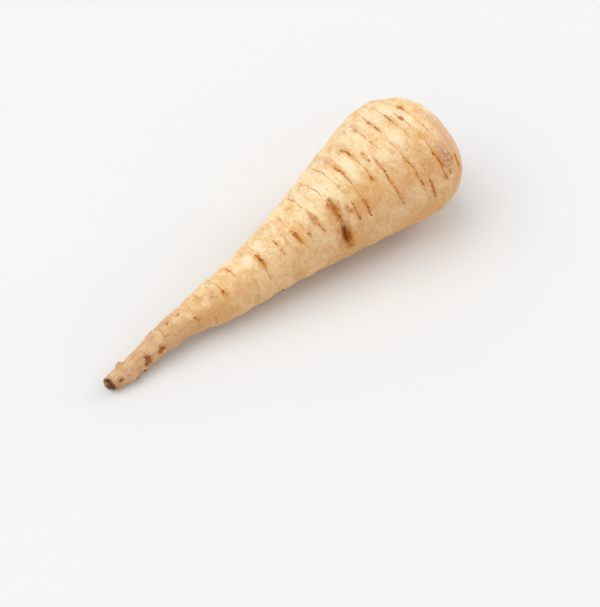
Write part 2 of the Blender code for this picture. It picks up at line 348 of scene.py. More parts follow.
@dataclass
class CreaseField:
    """The creases in front, those drawn for the sides that face away, and what a material reads of them."""

    front: tuple[Crease, ...] = FRONT_CREASES
    seed: int = 11
    tint_seed: int = 12
    # For the back and then the lower flank: the chance of a crease, where its arc starts, and its length.
    away: tuple[tuple[float, Pair, Pair], ...] = ((0.85, (195.0, 235.0), (30.0, 75.0)),
                                                  (0.45, (112.0, 128.0), (20.0, 40.0)))
    depths: Pair = (0.50, 0.85)
    run_shades: Pair = (0.7, 1.0)
    run_widths: Pair = (0.5, 0.9)
    run_lengths: Pair = (0.2, 0.6)
    line_shades: Pair = (0.35, 0.6)
    fade: float = 14.0
    groove: float = 0.62
    lip: float = 1.7
    lip_share: float = 0.28
    sharpness: float = 0.52
    scene_only: tuple[float, ...] = (171.0,)
    waver: float = 0.40
    reach: float = 3.0
    far: float = 9.0
    creases: list[Crease] = field(init=False)

    def __post_init__(self) -> None:
        """Draws the creases of the back and of the lower flank, in the same order as the solid's."""
        draw, tint = random.Random(self.seed), random.Random(self.tint_seed)
        self.creases = list(self.front)
        for station in self.stations():
            if station in self.scene_only:
                continue
            for chance, starts, lengths in self.away:
                start = draw.uniform(*starts)
                end = start + draw.uniform(*lengths)
                depth = draw.uniform(*self.depths)
                if draw.random() < chance:
                    self.creases.append(self.tinted(tint, station, start, end, depth))

    def stations(self) -> list[float]:
        """Every station that has a crease, from the tip to the crown."""
        return sorted({crease.station for crease in self.front})

    def tinted(self, draw: random.Random, station: float, first: float, last: float, depth: float) -> Crease:
        """A drawn crease with a dark run somewhere on its arc.

        Args:
            draw: Source of the run's place and darkness.
            station: Station of the crease.
            first: First angle of its arc.
            last: Last angle of its arc.
            depth: Depth of its groove.

        Returns:
            The crease.
        """
        start = draw.uniform(first, 0.5 * (first + last))
        end = start + draw.uniform(*self.run_lengths) * (last - first)
        run = Run(start, end, draw.uniform(*self.run_shades), draw.uniform(*self.run_widths))
        return Crease(station, first, last, depth, draw.uniform(*self.line_shades),
                      draw.uniform(*self.line_shades), (run,))

    def across(self, crease: Crease, at: Places) -> np.ndarray:
        """Distance along the root from a crease, whose line wavers by two sines round the root.

        Args:
            crease: The crease.
            at: Places on the root.

        Returns:
            Millimetres, above 0 towards the crown.
        """
        phase = 2.3 * crease.station + 0.07 * crease.first
        wave = 0.6 * np.sin(0.12 * at.angle + phase) + 0.4 * np.sin(0.31 * at.angle + 1.7 * phase)
        return at.station - crease.station - self.waver * wave

    def relief(self, at: Places, uneven: np.ndarray) -> np.ndarray:
        """Height of the grooves and their lips.

        Each crease sinks by depth times a bell across it, and rises beside it by a share of the depth on two
        wider bells, all faded at the ends of its arc.

        Args:
            at: Places on the root.
            uneven: Noise of unit spread that varies the depth along each crease.

        Returns:
            The height at each place, in millimetres.
        """
        total = np.zeros(at.angle.shape)
        for crease in self.creases:
            across = self.across(crease, at)
            along = arc_window(at.angle, crease.first, crease.last, self.fade)
            lips = bell(np.abs(across) - self.lip, 0.7 * self.lip)
            shape = self.lip_share * lips - bell(across, self.groove)
            total += self.sharpness * crease.depth * along * np.clip(1.0 + 0.35 * uneven, 0.3, 1.7) * shape
        return total

    def colour_fields(self, at: Places) -> dict[str, np.ndarray]:
        """Distance to the crease that counts most at each place, with the darkness and width of its runs.

        A crease counts by its arc's share times a bell of its distance.

        Args:
            at: Places on the root.

        Returns:
            The arrays crease_gap, crease_shade, crease_run and crease_width.
        """
        zero = np.zeros(at.angle.shape)
        best, found = zero, [zero + self.far, zero, zero, zero + 0.5]
        for crease in self.creases:
            across = np.abs(self.across(crease, at))
            along = arc_window(at.angle, crease.first, crease.last, self.fade)
            dark, width = zero, zero + crease.width
            for run in crease.runs:
                share = arc_window(at.angle, run.first, run.last, 0.7 * self.fade)
                dark = np.maximum(dark, run.shade * share)
                width = width + (run.width - width) * share
            counts = along * bell(across, self.reach)
            wins = counts > best
            best = np.where(wins, counts, best)
            ours = across, crease.shade * along, dark, width
            found = [np.where(wins, new, old) for new, old in zip(ours, found)]
        return dict(zip(("crease_gap", "crease_shade", "crease_run", "crease_width"), found))


@dataclass
class SpotField:
    """The spots in front and those drawn for the sides that face away."""

    seed: int = 21
    drawn: int = 46
    away: Pair = (125.0, 290.0)
    stations: Pair = (14.0, 212.0)
    along: Pair = (1.0, 2.2)
    around: Pair = (1.4, 3.2)
    strengths: Pair = (0.5, 0.9)
    kinds: tuple[Blemish, ...] = (Blemish.STAIN, Blemish.STAIN, Blemish.GOLD, Blemish.LILAC, Blemish.RUST,
                                  Blemish.GOLD)
    wide: tuple[Blemish, ...] = (Blemish.GOLD, Blemish.LILAC)
    spots: dict[Blemish, list[Spot]] = field(init=False)

    def __post_init__(self) -> None:
        """Draws the spots of the sides that face away, wide kinds three times as large."""
        draw = random.Random(self.seed)
        self.spots = {kind: list(FRONT_SPOTS[kind]) for kind in Blemish}
        for index in range(self.drawn):
            kind = self.kinds[index % len(self.kinds)]
            size = 3.0 if kind in self.wide else 1.0
            self.spots[kind].append((draw.uniform(*self.stations), draw.uniform(*self.away),
                                     size * draw.uniform(*self.along), size * draw.uniform(*self.around),
                                     draw.uniform(*self.strengths)))

    def fields(self, at: Places) -> dict[str, np.ndarray]:
        """Strength of each kind of spot: the largest of strength times an oval bell, over its spots.

        Args:
            at: Places on the root.

        Returns:
            One array for each kind, by the kind's name.
        """
        found = {}
        for kind, spots in self.spots.items():
            found[kind.value] = np.zeros(at.angle.shape)
            for *place, strength in spots:
                found[kind.value] = np.maximum(found[kind.value], strength * bell(at.from_spot(*place), 1.0))
        return found


# ---------------------------------------------------------------------------------------------------------
# The form of the root
# ---------------------------------------------------------------------------------------------------------

@dataclass
class RootForm:
    """The root's sizes, which are its solid's own, and the surface worked out from them."""

    body_profile: Points = ((0.0, 2.7), (2.0, 3.9), (6.0, 4.7), (20.0, 5.4), (34.0, 6.9), (46.0, 7.6),
                            (55.0, 8.5), (65.0, 10.8), (86.0, 13.4), (108.0, 16.6), (128.0, 20.2),
                            (150.0, 25.0), (170.0, 29.6), (186.0, 33.0), (195.0, 33.7))
    shoulder_rise: float = 29.5
    shoulder_power: float = 2.1
    rim_radius: float = 22.5
    crown_profile: Points = ((20.5, 0.5), (18.5, 0.9), (16.9, 1.0), (16.2, 0.2), (15.7, -2.4), (14.9, -4.2),
                             (14.0, -3.9), (13.3, -1.9), (12.7, -0.3), (11.6, 0.3), (10.2, 0.5), (8.8, 0.6),
                             (7.4, 0.6), (6.0, 0.5), (4.6, 0.4), (3.2, 0.3), (1.8, 0.2))
    button_radius: float = 12.7
    tip_cup: Points = ((1.7, 0.3), (0.9, 0.8))
    tip_cup_depth: float = 1.0
    tip_lean: float = 0.7
    sway: Points = ((0.0, 0.4), (6.0, -0.6), (20.0, 0.1), (34.0, 1.5), (50.0, 1.7), (62.0, 0.8),
                    (74.0, -0.2), (88.0, -0.7), (110.0, -0.3), (128.0, -0.3), (145.0, 0.1), (170.0, 0.7),
                    (190.0, 0.6), (205.0, -0.3), (222.0, -1.0))
    sway_direction: Pair = (0.85, 0.52)
    # Station, angle and height of each stub of a side root.
    stubs: tuple[Triple, ...] = (
        (6.0, 46, 0.7), (10.5, -62, 1.1), (13.5, 92, 0.9), (19.5, 98, 0.9), (33.0, 62, 0.6),
        (17.0, -150, 0.9), (28.0, 160, 0.8), (46.0, -120, 0.8), (57.0, 118, 0.6), (88.5, 118, 0.7),
        (101.0, 106, 0.7), (70.0, -140, 0.8), (118.0, -112, 0.7))
    stub_spread: float = 1.5
    # Place across and up the crown, half width, half height and turn of each leaf scar.
    leaf_scars: tuple[tuple[float, float, float, float, float], ...] = (
        (-1.5, -6.6, 5.0, 3.6, 12), (-6.2, 2.6, 3.6, 4.8, 20), (2.6, 7.0, 4.6, 3.2, -20),
        (7.0, -0.6, 3.0, 4.8, -8))
    scar_rim: float = 0.20
    scar_ridge: float = 0.36
    oval_share: float = 0.011
    lobe_share: float = 0.008
    wave_height: float = 0.20
    wave_length: float = 13.0
    press: float = 0.6
    tail_end: float = 40.0
    steepest_tilt: float = 20.0
    tilt_steps: int = 40
    around: int = 240
    ring_offsets: tuple[float, ...] = (-1.1, -0.7, -0.35, 0.0, 0.35, 0.7, 1.1)
    ring_gap: float = 1.05
    crown_gap: float = 0.42
    tilt: float = field(init=False, default=0.0)
    shift: np.ndarray = field(init=False, default_factory=lambda: np.zeros(3))

    @property
    def belly(self) -> Pair:
        """Station and radius where the body ends and the shoulder starts to round over."""
        return self.body_profile[-1]

    @property
    def rim_station(self) -> float:
        """Station where the shoulder has narrowed to the rim of the crown."""
        share = (self.rim_radius / self.belly[1]) ** self.shoulder_power
        return self.belly[0] + self.shoulder_rise * (1.0 - share) ** (1.0 / self.shoulder_power)

    def radius_at(self, station: np.ndarray) -> np.ndarray:
        """Radius from the tip to the rim: the body's smooth curve, then a quarter of a superellipse.

        Args:
            station: Stations.

        Returns:
            One radius for each.
        """
        rise = np.clip((station - self.belly[0]) / self.shoulder_rise, 0.0, 1.0)
        shoulder = self.belly[1] * (1.0 - rise ** self.shoulder_power) ** (1.0 / self.shoulder_power)
        return np.where(station <= self.belly[0], smooth_through(self.body_profile, station), shoulder)

    def body_rings(self, crease_stations: list[float]) -> np.ndarray:
        """Radius and station of the rings from the tip to the rim, closer together across each crease.

        Args:
            crease_stations: Stations that have a crease.

        Returns:
            One (radius, station) row for each ring.
        """
        marks = {0.0, self.rim_station, *(station for station, _radius in self.body_profile[:4])}
        marks.update(station + offset for station in crease_stations for offset in self.ring_offsets)
        marks = np.array(sorted(marks))
        runs = np.hypot(np.diff(marks), np.diff(self.radius_at(marks)))
        stations = [marks[:1]]
        for low, high, run in zip(marks, marks[1:], runs):
            stations.append(np.linspace(low, high, math.ceil(run / self.ring_gap) + 1)[1:])
        station = np.concatenate(stations)
        return np.stack([self.radius_at(station), station], axis=1)

    def grid(self, crease_stations: list[float]) -> Places:
        """Every point of the plain surface, ring by ring from the broken tip's cup to the crown's middle.

        Args:
            crease_stations: Stations that have a crease.

        Returns:
            The points, with axes for the ring and the point on it.
        """
        body = self.body_rings(crease_stations)
        cup = resample(np.array([*reversed(self.tip_cup), tuple(body[0])]), self.crown_gap)[:-1]
        crown = np.array(self.crown_profile) + np.array([0.0, self.rim_station])
        crown = resample(np.vstack([body[-1], crown]), self.crown_gap)[1:]
        radius, station = np.vstack([cup, body, crown]).T[..., None]
        inside = np.arange(len(radius))[:, None] >= len(cup) + len(body)
        angle = np.linspace(-180.0, 180.0, self.around, endpoint=False)
        return Places(*np.broadcast_arrays(station, angle, radius, inside))

    def unevenness(self, at: Places) -> np.ndarray:
        """A slightly oval and three-lobed section that turns along the root, and shallow waves along it.

        Args:
            at: Places on the root.

        Returns:
            The height at each place, in millimetres.
        """
        oval = self.oval_share * at.radius * np.cos(2.0 * at.turn - 0.7 + at.station / 60.0)
        lobes = self.lobe_share * at.radius * np.cos(3.0 * at.turn + 1.1 - at.station / 45.0)
        along = 2.0 * math.pi * at.station / self.wave_length
        return oval + lobes + self.wave_height * np.sin(along + 1.3 * np.sin(at.turn))

    def stub_relief(self, at: Places) -> np.ndarray:
        """Height of the stubs of side roots, a round bell each."""
        oval = self.stub_spread, self.stub_spread
        return sum(high * bell(at.from_spot(*place, *oval), 1.0) for *place, high in self.stubs)

    def scar_distance(self, across: np.ndarray, up: np.ndarray) -> list[np.ndarray]:
        """For each leaf scar, how far out each place is, as a share of the oval: 1 on its rim.

        Args:
            across: Places across the crown.
            up: Places up the crown.

        Returns:
            One array for each scar.
        """
        shares = []
        for place_across, place_up, half_width, half_height, turn in self.leaf_scars:
            cosine, sine = math.cos(math.radians(turn)), math.sin(math.radians(turn))
            u = (cosine * (across - place_across) + sine * (up - place_up)) / half_width
            v = (cosine * (up - place_up) - sine * (across - place_across)) / half_height
            shares.append(np.hypot(u, v))
        return shares

    def scar_ridges(self, across: np.ndarray, up: np.ndarray) -> np.ndarray:
        """Ridges between the leaf scars, from 0 to 1, with the first scar's own rim.

        A ridge is a bell of how much farther out of the second nearest scar a place is than out of the
        nearest. The rim is a bell of the distance from the first scar's oval.

        Args:
            across: Places across the crown.
            up: Places up the crown.

        Returns:
            The height of the ridges at each place.
        """
        shares = self.scar_distance(across, up)
        nearest, second = np.sort(shares, axis=0)[:2]
        return np.maximum(bell(second - nearest, self.scar_ridge), bell(shares[0] - 1.0, self.scar_rim))

    def crown_height(self, radius: np.ndarray) -> np.ndarray:
        """Station of the crown's profile at each radius inside the rim."""
        radii, heights = np.array(self.crown_profile).T[:, ::-1]
        return self.rim_station + np.interp(radius, radii, heights)

    def skin_frame(self, station: np.ndarray, angle: np.ndarray) -> tuple[np.ndarray, ...]:
        """Where the plain skin is at each place, before it sways, and the directions there.

        Args:
            station: Stations, one for each place.
            angle: Angles, one for each place.

        Returns:
            The points, and unit vectors outwards, along the axis and to the side.
        """
        turn, radius = np.radians(angle), self.radius_at(station)
        radius = radius + self.unevenness(Places(station, angle, radius, np.zeros_like(radius)))
        outward = about_axis(0.0 * turn, 1.0, turn)
        axis = np.broadcast_to(np.array([1.0, 0.0, 0.0]), outward.shape)
        return about_axis(station, radius, turn), outward, axis, np.cross(outward, axis)

    def swayed(self, points: np.ndarray) -> np.ndarray:
        """Points moved in y and z with the swaying centre line at their x."""
        sway = smooth_through(self.sway, points[..., 0])
        return points + sway[..., None] * np.array([0.0, *self.sway_direction])

    def tilted(self, points: np.ndarray) -> np.ndarray:
        """Points turned about Y, so that the crown end rises by the tilt.

        Args:
            points: Points, last axis x, y, z.

        Returns:
            The turned points.
        """
        cosine, sine = math.cos(self.tilt), math.sin(self.tilt)
        x, y, z = np.moveaxis(points, -1, 0)
        return np.stack([x * cosine - z * sine, y, x * sine + z * cosine], axis=-1)

    def settle(self, points: np.ndarray) -> None:
        """Finds the tilt that lets tail and belly touch the ground together, and the shift that centres it.

        The tilt is found by halving: it grows while the tail stands higher than the belly.

        Args:
            points: The swayed surface, before it is laid down.
        """
        is_tail = points[:, 0] < self.tail_end
        low, high = 0.0, math.radians(self.steepest_tilt)
        for _step in range(self.tilt_steps):
            self.tilt = 0.5 * (low + high)
            heights = self.tilted(points)[:, 2]
            if heights[is_tail].min() > heights[~is_tail].min():
                low = self.tilt
            else:
                high = self.tilt
        laid = self.tilted(points)
        self.shift = -0.5 * (laid.min(axis=0) + laid.max(axis=0))
        self.shift[2] = -laid[:, 2].min() - self.press

    def laid(self, points: np.ndarray) -> np.ndarray:
        """Points swayed, tilted and shifted onto the ground, with what would sink into it pressed flat."""
        placed = self.tilted(self.swayed(points)) + self.shift
        return np.maximum(placed, (-np.inf, -np.inf, 0.0))


# ---------------------------------------------------------------------------------------------------------
# Materials from nodes
# ---------------------------------------------------------------------------------------------------------

class Wire:
    """The output of one node of a material.  Its methods add a node that reads it and return that one's."""

    def __init__(self, socket: bpy.types.NodeSocket) -> None:
        """Wraps an output."""
        self.socket = socket

    def node(self, kind: str, inputs: "dict[str | int, Value]", **settings: object) -> bpy.types.Node:
        """Adds a node to this one's material.

        Args:
            kind: Its type.
            inputs: Values or wires by the socket's name or number.
            settings: The node's own properties.

        Returns:
            The node.
        """
        added = self.socket.id_data.nodes.new(kind)
        for name, setting in settings.items():
            setattr(added, name, setting)
        for name, value in inputs.items():
            feed(added.inputs[name], value)
        return added

    def maths(self, operation: str, other: "Value" = 0.0) -> "Wire":
        """One operation on this number and another."""
        return Wire(self.node("ShaderNodeMath", {0: self, 1: other}, operation=operation).outputs[0])

    def __add__(self, other: "Value") -> "Wire":
        """Sum of two numbers."""
        return self.maths("ADD", other)

    def __sub__(self, other: "Value") -> "Wire":
        """Difference of two numbers."""
        return self.maths("SUBTRACT", other)

    def __mul__(self, other: "Value") -> "Wire":
        """Product of two numbers."""
        return self.maths("MULTIPLY", other)

    def __truediv__(self, other: "Value") -> "Wire":
        """Quotient of two numbers."""
        return self.maths("DIVIDE", other)

    def most(self, *others: "Value") -> "Wire":
        """Largest of this number and others."""
        return reduce(lambda largest, other: largest.maths("MAXIMUM", other), others, self)

    def share(self, low: float, high: float, start: float = 0.0, end: float = 1.0) -> "Wire":
        """A smooth step from start to end as this number goes from low to high."""
        inputs = {"Value": self, "From Min": low, "From Max": high, "To Min": start, "To Max": end}
        return Wire(self.node("ShaderNodeMapRange", inputs, interpolation_type="SMOOTHSTEP").outputs[0])

    def pick(self, first: "Value", second: "Value") -> "Wire":
        """Two colours mixed by this share."""
        return Wire(self.node("ShaderNodeMix", {0: self, 6: first, 7: second}, data_type="RGBA").outputs[2])

    def tinted(self, tint: "Value") -> "Wire":
        """This colour times a tint."""
        inputs = {0: 1.0, 6: self, 7: tint}
        return Wire(self.node("ShaderNodeMix", inputs, data_type="RGBA", blend_type="MULTIPLY").outputs[2])

    def moved(self, scale: Triple, shift: Triple = (0.0, 0.0, 0.0)) -> "Wire":
        """This place scaled along each axis and then shifted."""
        inputs = {"Vector": self, "Scale": scale, "Location": shift}
        return Wire(self.node("ShaderNodeMapping", inputs).outputs[0])

    def noise(self, size: float, detail: float = 2.0, roughness: float = 0.5, warp: float = 0.0) -> "Wire":
        """Soft noise at this place.

        Args:
            size: Size of its largest lumps, in the place's units.
            detail: How many times finer lumps are added.
            roughness: How much each finer lump counts against the one before.
            warp: How far the noise is warped by itself.

        Returns:
            A number from 0 to 1.
        """
        inputs = {"Vector": self, "Scale": 1.0 / size, "Detail": detail, "Roughness": roughness,
                  "Distortion": warp}
        return Wire(self.node("ShaderNodeTexNoise", inputs).outputs["Fac"])

    def specks(self, gap: float, size: float, kept: "Value") -> "Wire":
        """Small soft dots at this place: 1 in the middle of each, falling to 0 at its edge.

        Args:
            gap: Typical distance from one to the next.
            size: Radius of a dot, in the place's units.
            kept: Share of the dots that show.

        Returns:
            The share of dot.
        """
        cells = self.node("ShaderNodeTexVoronoi", {"Vector": self, "Scale": 1.0 / gap}).outputs
        chance = self.node("ShaderNodeSeparateColor", {"Color": Wire(cells["Color"])}).outputs
        reach = Wire(chance[1]) * (size / gap) + 0.4 * size / gap
        return (Wire(cells["Distance"]) / reach).share(1.0, 0.4) * Wire(chance[0]).maths("LESS_THAN", kept)

    def bump(self) -> "Wire":
        """A bumped normal from this height in millimetres."""
        inputs = {"Height": self, "Strength": 1.0, "Distance": MM}
        return Wire(self.node("ShaderNodeBump", inputs).outputs["Normal"])


Value = Wire | float | tuple


def feed(socket: bpy.types.NodeSocket, value: Value) -> None:
    """Links a wire to a socket, or sets the socket's own value.

    Args:
        socket: The input.
        value: What it is to read.
    """
    if isinstance(value, Wire):
        socket.id_data.links.new(value.socket, socket)
    else:
        socket.default_value = value


def layered(colour: Value, *layers: tuple[Wire, Value]) -> Value:
    """A colour under layers, each a share and the colour that it lays over what is below."""
    return reduce(lambda below, layer: layer[0].pick(below, layer[1]), layers, colour)


class Sheet:
    """The nodes of one material."""

    def __init__(self, name: str) -> None:
        """Starts a material with its shader.

        Args:
            name: The material's name.
        """
        self.material = bpy.data.materials.new(name)
        self.material.use_nodes = True
        self.nodes = self.material.node_tree.nodes

    def place(self, tilt: float) -> Wire:
        """The point on the piece in millimetres, with X turned onto the root's axis.

        Args:
            tilt: The root's tilt.

        Returns:
            The point.
        """
        point = Wire(self.nodes.new("ShaderNodeTexCoord").outputs["Object"])
        inputs = {"Vector": point, "Rotation": (0.0, tilt, 0.0), "Scale": (1.0 / MM, 1.0 / MM, 1.0 / MM)}
        return Wire(point.node("ShaderNodeMapping", inputs).outputs[0])

    def field(self, name: str) -> Wire:
        """A number stored on the mesh.

        Args:
            name: Name of its attribute.

        Returns:
            The number.
        """
        reader = self.nodes.new("ShaderNodeAttribute")
        reader.attribute_name = name
        return Wire(reader.outputs["Fac"])

    def finish(self, **inputs: Value) -> bpy.types.Material:
        """Feeds the shader.

        Args:
            inputs: Values or wires by the socket's name, with underscores for spaces.

        Returns:
            The material.
        """
        for name, value in inputs.items():
            feed(self.nodes["Principled BSDF"].inputs[name.replace("_", " ")], value)
        return self.material


@dataclass(frozen=True)
class Finish:
    """A finish of one name.  Each kind lays out the nodes of its own material."""

    name: str

    def dress(self, sheet: Sheet, place: Wire) -> bpy.types.Material:
        """Lays out the material's nodes from the place on the piece, and returns the material."""
        raise NotImplementedError

    def material(self, tilt: float) -> bpy.types.Material:
        """The finish's material, for a root that lies at a tilt."""
        sheet = Sheet(self.name)
        return self.dress(sheet, sheet.place(tilt))


@dataclass(frozen=True)
class SkinFinish(Finish):
    """Cream skin with golden mottling, brown creases, blemishes, and the rough crown and tip, with painted
    light: shade on the far sides and in the crown's groove, highlights along the top and round the groove,
    and warm reflected light low on the far side.
    """

    name: str = "parsnip_skin"
    cream: Colour = tone(250, 225, 181)
    honey: Colour = tone(237, 196, 138)
    # Gold of the skin's patches and spots; two gold spots low on the far side use it as painted reflected
    # light.
    gold: Colour = tone(224, 164, 88)
    # Near-white cream of the pale spots: a painted highlight, partly pale skin.
    pale: Colour = tone(254, 234, 198)
    vein: Colour = tone(216, 158, 84)
    # Tan of the sides away from the lit one: painted shade, partly the skin's own tan.
    tan: Colour = tone(222, 168, 110)
    blush: Colour = tone(220, 164, 122)
    # Pinkish tan of the far shoulder near the crown: painted shade, partly its own colour.
    shoulder: Colour = tone(224, 178, 142)
    tail: Colour = tone(211, 170, 128)
    tail_fleck: Colour = tone(164, 104, 66)
    # Lilac tinge of the skin; two lilac spots on the crown end's upper rim use it as painted shade.
    lilac: Colour = tone(212, 160, 134)
    halo: Colour = tone(214, 144, 62)
    crease_faint: Colour = tone(212, 142, 70)
    crease_light: Colour = tone(192, 106, 14)
    crease_red: Colour = tone(182, 92, 34)
    crease_dark: Colour = tone(128, 54, 0)
    stain: Colour = tone(176, 98, 22)
    shade: Colour = tone(190, 132, 70)
    rust: Colour = tone(192, 100, 36)
    cork: Colour = tone(178, 124, 92)
    cork_mesh: Colour = tone(232, 204, 186)
    node: Colour = tone(142, 76, 46)
    soot: Colour = tone(98, 38, 0)
    speck: Colour = tone(164, 88, 14)
    face: Colour = tone(218, 178, 140)
    face_dark: Colour = tone(176, 128, 90)
    crust_dark: Colour = tone(136, 86, 50)
    # Near-black of the crown's groove: painted shade over the ring's own dark cork; the button's dark pits
    # use it too.
    groove: Colour = tone(34, 21, 15)
    groove_crumb: Colour = tone(112, 76, 50)
    button: Colour = tone(162, 112, 76)
    button_dark: Colour = tone(104, 64, 42)
    button_pale: Colour = tone(196, 150, 116)
    # Cream of the leaf scars' ridges, also painted as a highlight on the edge ring outside the groove.
    ridge: Colour = tone(232, 206, 168)
    ochre: Colour = tone(202, 150, 88)
    tip: Colour = tone(138, 84, 48)
    tip_dark: Colour = tone(40, 24, 16)
    roughness: float = 0.44
    # For each kind of spot, laid in this order: the size and amount of the noise that breaks it up, where
    # the broken field starts to show and shows most, and how strongly it covers. Its colour is above, under
    # the kind's own name.
    spots: tuple[tuple[Blemish, float, float, float, float, float], ...] = (
        (Blemish.GOLD, 6.0, 1.2, 0.25, 0.80, 0.75), (Blemish.PALE_AND_HIGHLIGHT, 5.0, 1.4, 0.10, 0.90, 0.75),
        (Blemish.SHADE, 3.0, 1.6, 0.10, 1.00, 0.75), (Blemish.LILAC, 2.6, 1.3, 0.20, 0.90, 0.60),
        (Blemish.CORK, 1.4, 2.0, 0.10, 0.95, 0.75), (Blemish.STAIN, 1.5, 2.4, 0.25, 1.00, 0.88),
        (Blemish.RUST, 1.0, 1.8, 0.15, 0.80, 0.92), (Blemish.NODE, 1.0, 2.4, 0.15, 0.85, 0.90),
        (Blemish.SOOT, 0.9, 2.4, 0.25, 1.10, 0.92))

    def ground(self, sheet: Sheet, place: Wire) -> Wire:
        """Cream clouded with honey and gold at four sizes, browner at the tail, and tanner on the flanks away
        from the lit side, which is painted shade with some of the skin's own tan.

        Args:
            sheet: The material's nodes.
            place: The point on the piece.

        Returns:
            The colour.
        """
        large = place.noise(26.0, 2.0, 0.5, 0.4)
        middle = place.moved((1.3, 0.7, 0.7), (40.0, 0.0, 0.0)).noise(7.0, 4.0, 0.55, 0.8)
        small = place.moved((1.2, 0.8, 0.8), (0.0, 30.0, 0.0)).noise(2.6, 4.0, 0.65, 0.8)
        fine = place.noise(1.0, 3.0, 0.65)
        cloud = large * 0.42 + middle * 0.36 + small * 0.22
        patch = place.moved((1.0, 0.8, 0.8), (90.0, 20.0, 0.0)).noise(9.0, 6.0, 0.66, 1.2)
        veins = []
        for size, width, strength, shift in ((5.5, 0.018, 0.70, 25.0), (2.4, 0.032, 0.50, 65.0)):
            net = place.moved((1.0, 0.8, 0.8), (shift, 60.0, 0.0)).noise(size, 3.0, 0.6, 1.5)
            net = (net - 0.5).maths("ABSOLUTE").share(width, 0.0)
            veins.append((net * middle.share(0.38, 0.62, 0.0, strength), self.vein))
        # Painted shade, with some of the skin's own tan: tan on the sides away from the lit one, and a
        # pinkish tan there near the crown.
        flank_shade_and_tan = sheet.field("flank_shade_and_tan") * large.share(0.2, 0.7, 0.62, 0.92) * cloud.share(0.42, 0.58, 0.72, 1.06)
        tail, shoulder = sheet.field("tail"), sheet.field("shoulder")
        freckle = small.share(0.54, 0.70) * fine.share(0.42, 0.62) * (tail * 0.45 + 0.30)
        colour = layered(cloud.share(0.44, 0.58).pick(self.cream, self.honey),
                         (patch.share(0.50, 0.70, 0.0, 0.65), self.gold), *veins, (flank_shade_and_tan, self.tan),
                         (tail * middle.share(0.3, 0.65, 0.75, 1.0), self.tail),
                         (shoulder * middle.share(0.35, 0.65, 0.34, 0.70), self.shoulder),
                         (freckle, self.tail_fleck))
        return colour.tinted(fine.share(0.30, 0.70).pick((0.95, 0.88, 0.78, 1.0), (1.03, 1.08, 1.16, 1.0)))

    def fibres(self, sheet: Sheet, place: Wire) -> Wire:
        """Share of fine strands along the tail: noise long on the axis and short across it."""
        strands = place.moved((0.12, 1.0, 1.0)).noise(0.9, 2.0, 0.55, 0.2)
        return strands.share(0.50, 0.66) * sheet.field("tail")

    def hairlines(self, place: Wire) -> Wire:
        """Share of faint lines round the root: noise short along the axis and long across it, in patches.

        Args:
            place: The point on the piece.

        Returns:
            The share.
        """
        lines = place.moved((1.0, 0.07, 0.07)).noise(0.9, 2.0, 0.5, 0.3)
        patch = place.moved((1.0, 1.0, 1.0), (0.0, 55.0, 10.0)).noise(15.0)
        return lines.share(0.56, 0.70) * patch.share(0.45, 0.68)

    def crease_ink(self, sheet: Sheet, place: Wire) -> tuple[Wire, Wire, Wire]:
        """Share of crease line, the line's colour, and the share of the golden skirt beside it.

        A thin line follows the whole crease, and knots, a slow noise, let it come and go. A run adds grit, a
        quick noise that shows more of itself the nearer it is to the crease, and is darkest where it is high.

        Args:
            sheet: The material's nodes.
            place: The point on the piece.

        Returns:
            The line's share, its colour and the skirt's share.
        """
        gap, width, run, shade = [sheet.field("crease_" + name) for name in ("gap", "width", "run", "shade")]
        ragged = place.noise(0.9, 3.0, 0.7)
        knots = place.moved((0.4, 1.0, 1.0), (70.0, 0.0, 0.0)).noise(3.4, 3.0, 0.6)
        beads = place.moved((1.0, 1.0, 1.0), (7.0, 3.0, 1.0)).noise(1.6, 4.0, 0.75)
        away = gap / 0.30 + ragged * 1.6 - 0.8
        power = shade * knots.share(0.38, 0.60, 0.40, 1.40) + beads * 1.4 - 0.7
        thin = away.share(1.20, 0.40) * power.share(0.05, 0.75, 0.10, 0.85) * shade.share(0.02, 0.25)
        reach = gap / (width * 1.8)
        dense = run * reach.share(1.10, 0.20) * knots.share(0.36, 0.56, 0.45, 1.10)
        grit = place.moved((1.2, 0.8, 0.8), (21.0, 0.0, 5.0)).noise(0.85, 3.0, 0.7)
        over = grit + dense * 0.34 - 0.72
        gritty = over.share(0.0, 0.10) * dense.share(0.02, 0.20) * 0.85
        dots = place.moved((1.0, 0.85, 0.85), (2.0, 8.0, 4.0)).specks(1.15, 0.58, dense * 0.75)
        brown = sheet.field("shoulder").pick(self.crease_light, self.crease_red)
        ink = layered(self.crease_faint, (power.share(0.25, 0.90), brown), (gritty, brown),
                      (dots.most(over.share(0.16, 0.34)), self.crease_dark))
        skirt = run * reach.share(2.2, 0.2) * beads.share(0.30, 0.60, 0.4, 1.0)
        return thin.most(gritty, dots * 0.95), ink, skirt

    def blemished(self, sheet: Sheet, place: Wire, colour: Wire) -> Wire:
        """The skin's colour under its spots, each kind's field broken up by noise at its own size.

        Args:
            sheet: The material's nodes.
            place: The point on the piece.
            colour: The colour without them.

        Returns:
            The colour with them.
        """
        # Some spots paint light: the pale ones a highlight, two gold ones reflected light and two lilac ones
        # shade.
        for kind, size, amount, low, high, strength in self.spots:
            broken = place.moved((1.0, 0.8, 0.8), (size * 11.0, 0.0, 0.0)).noise(size, 4.0, 0.6)
            spot = sheet.field(kind.value)
            over = spot + broken * amount - 0.5 * amount
            shows = over.share(low, high, 0.0, strength) * spot.share(0.05, 0.35)
            colour = shows.pick(colour, getattr(self, kind.value))
        cells = {"Vector": place, "Scale": 0.75}
        edge = Wire(place.node("ShaderNodeTexVoronoi", cells, feature="DISTANCE_TO_EDGE").outputs["Distance"])
        cork = sheet.field("cork").share(0.25, 0.60, 0.0, 0.7)
        mesh = edge.share(0.22, 0.02) * cork * place.noise(2.6).share(0.40, 0.60)
        return mesh.pick(colour, self.cork_mesh)

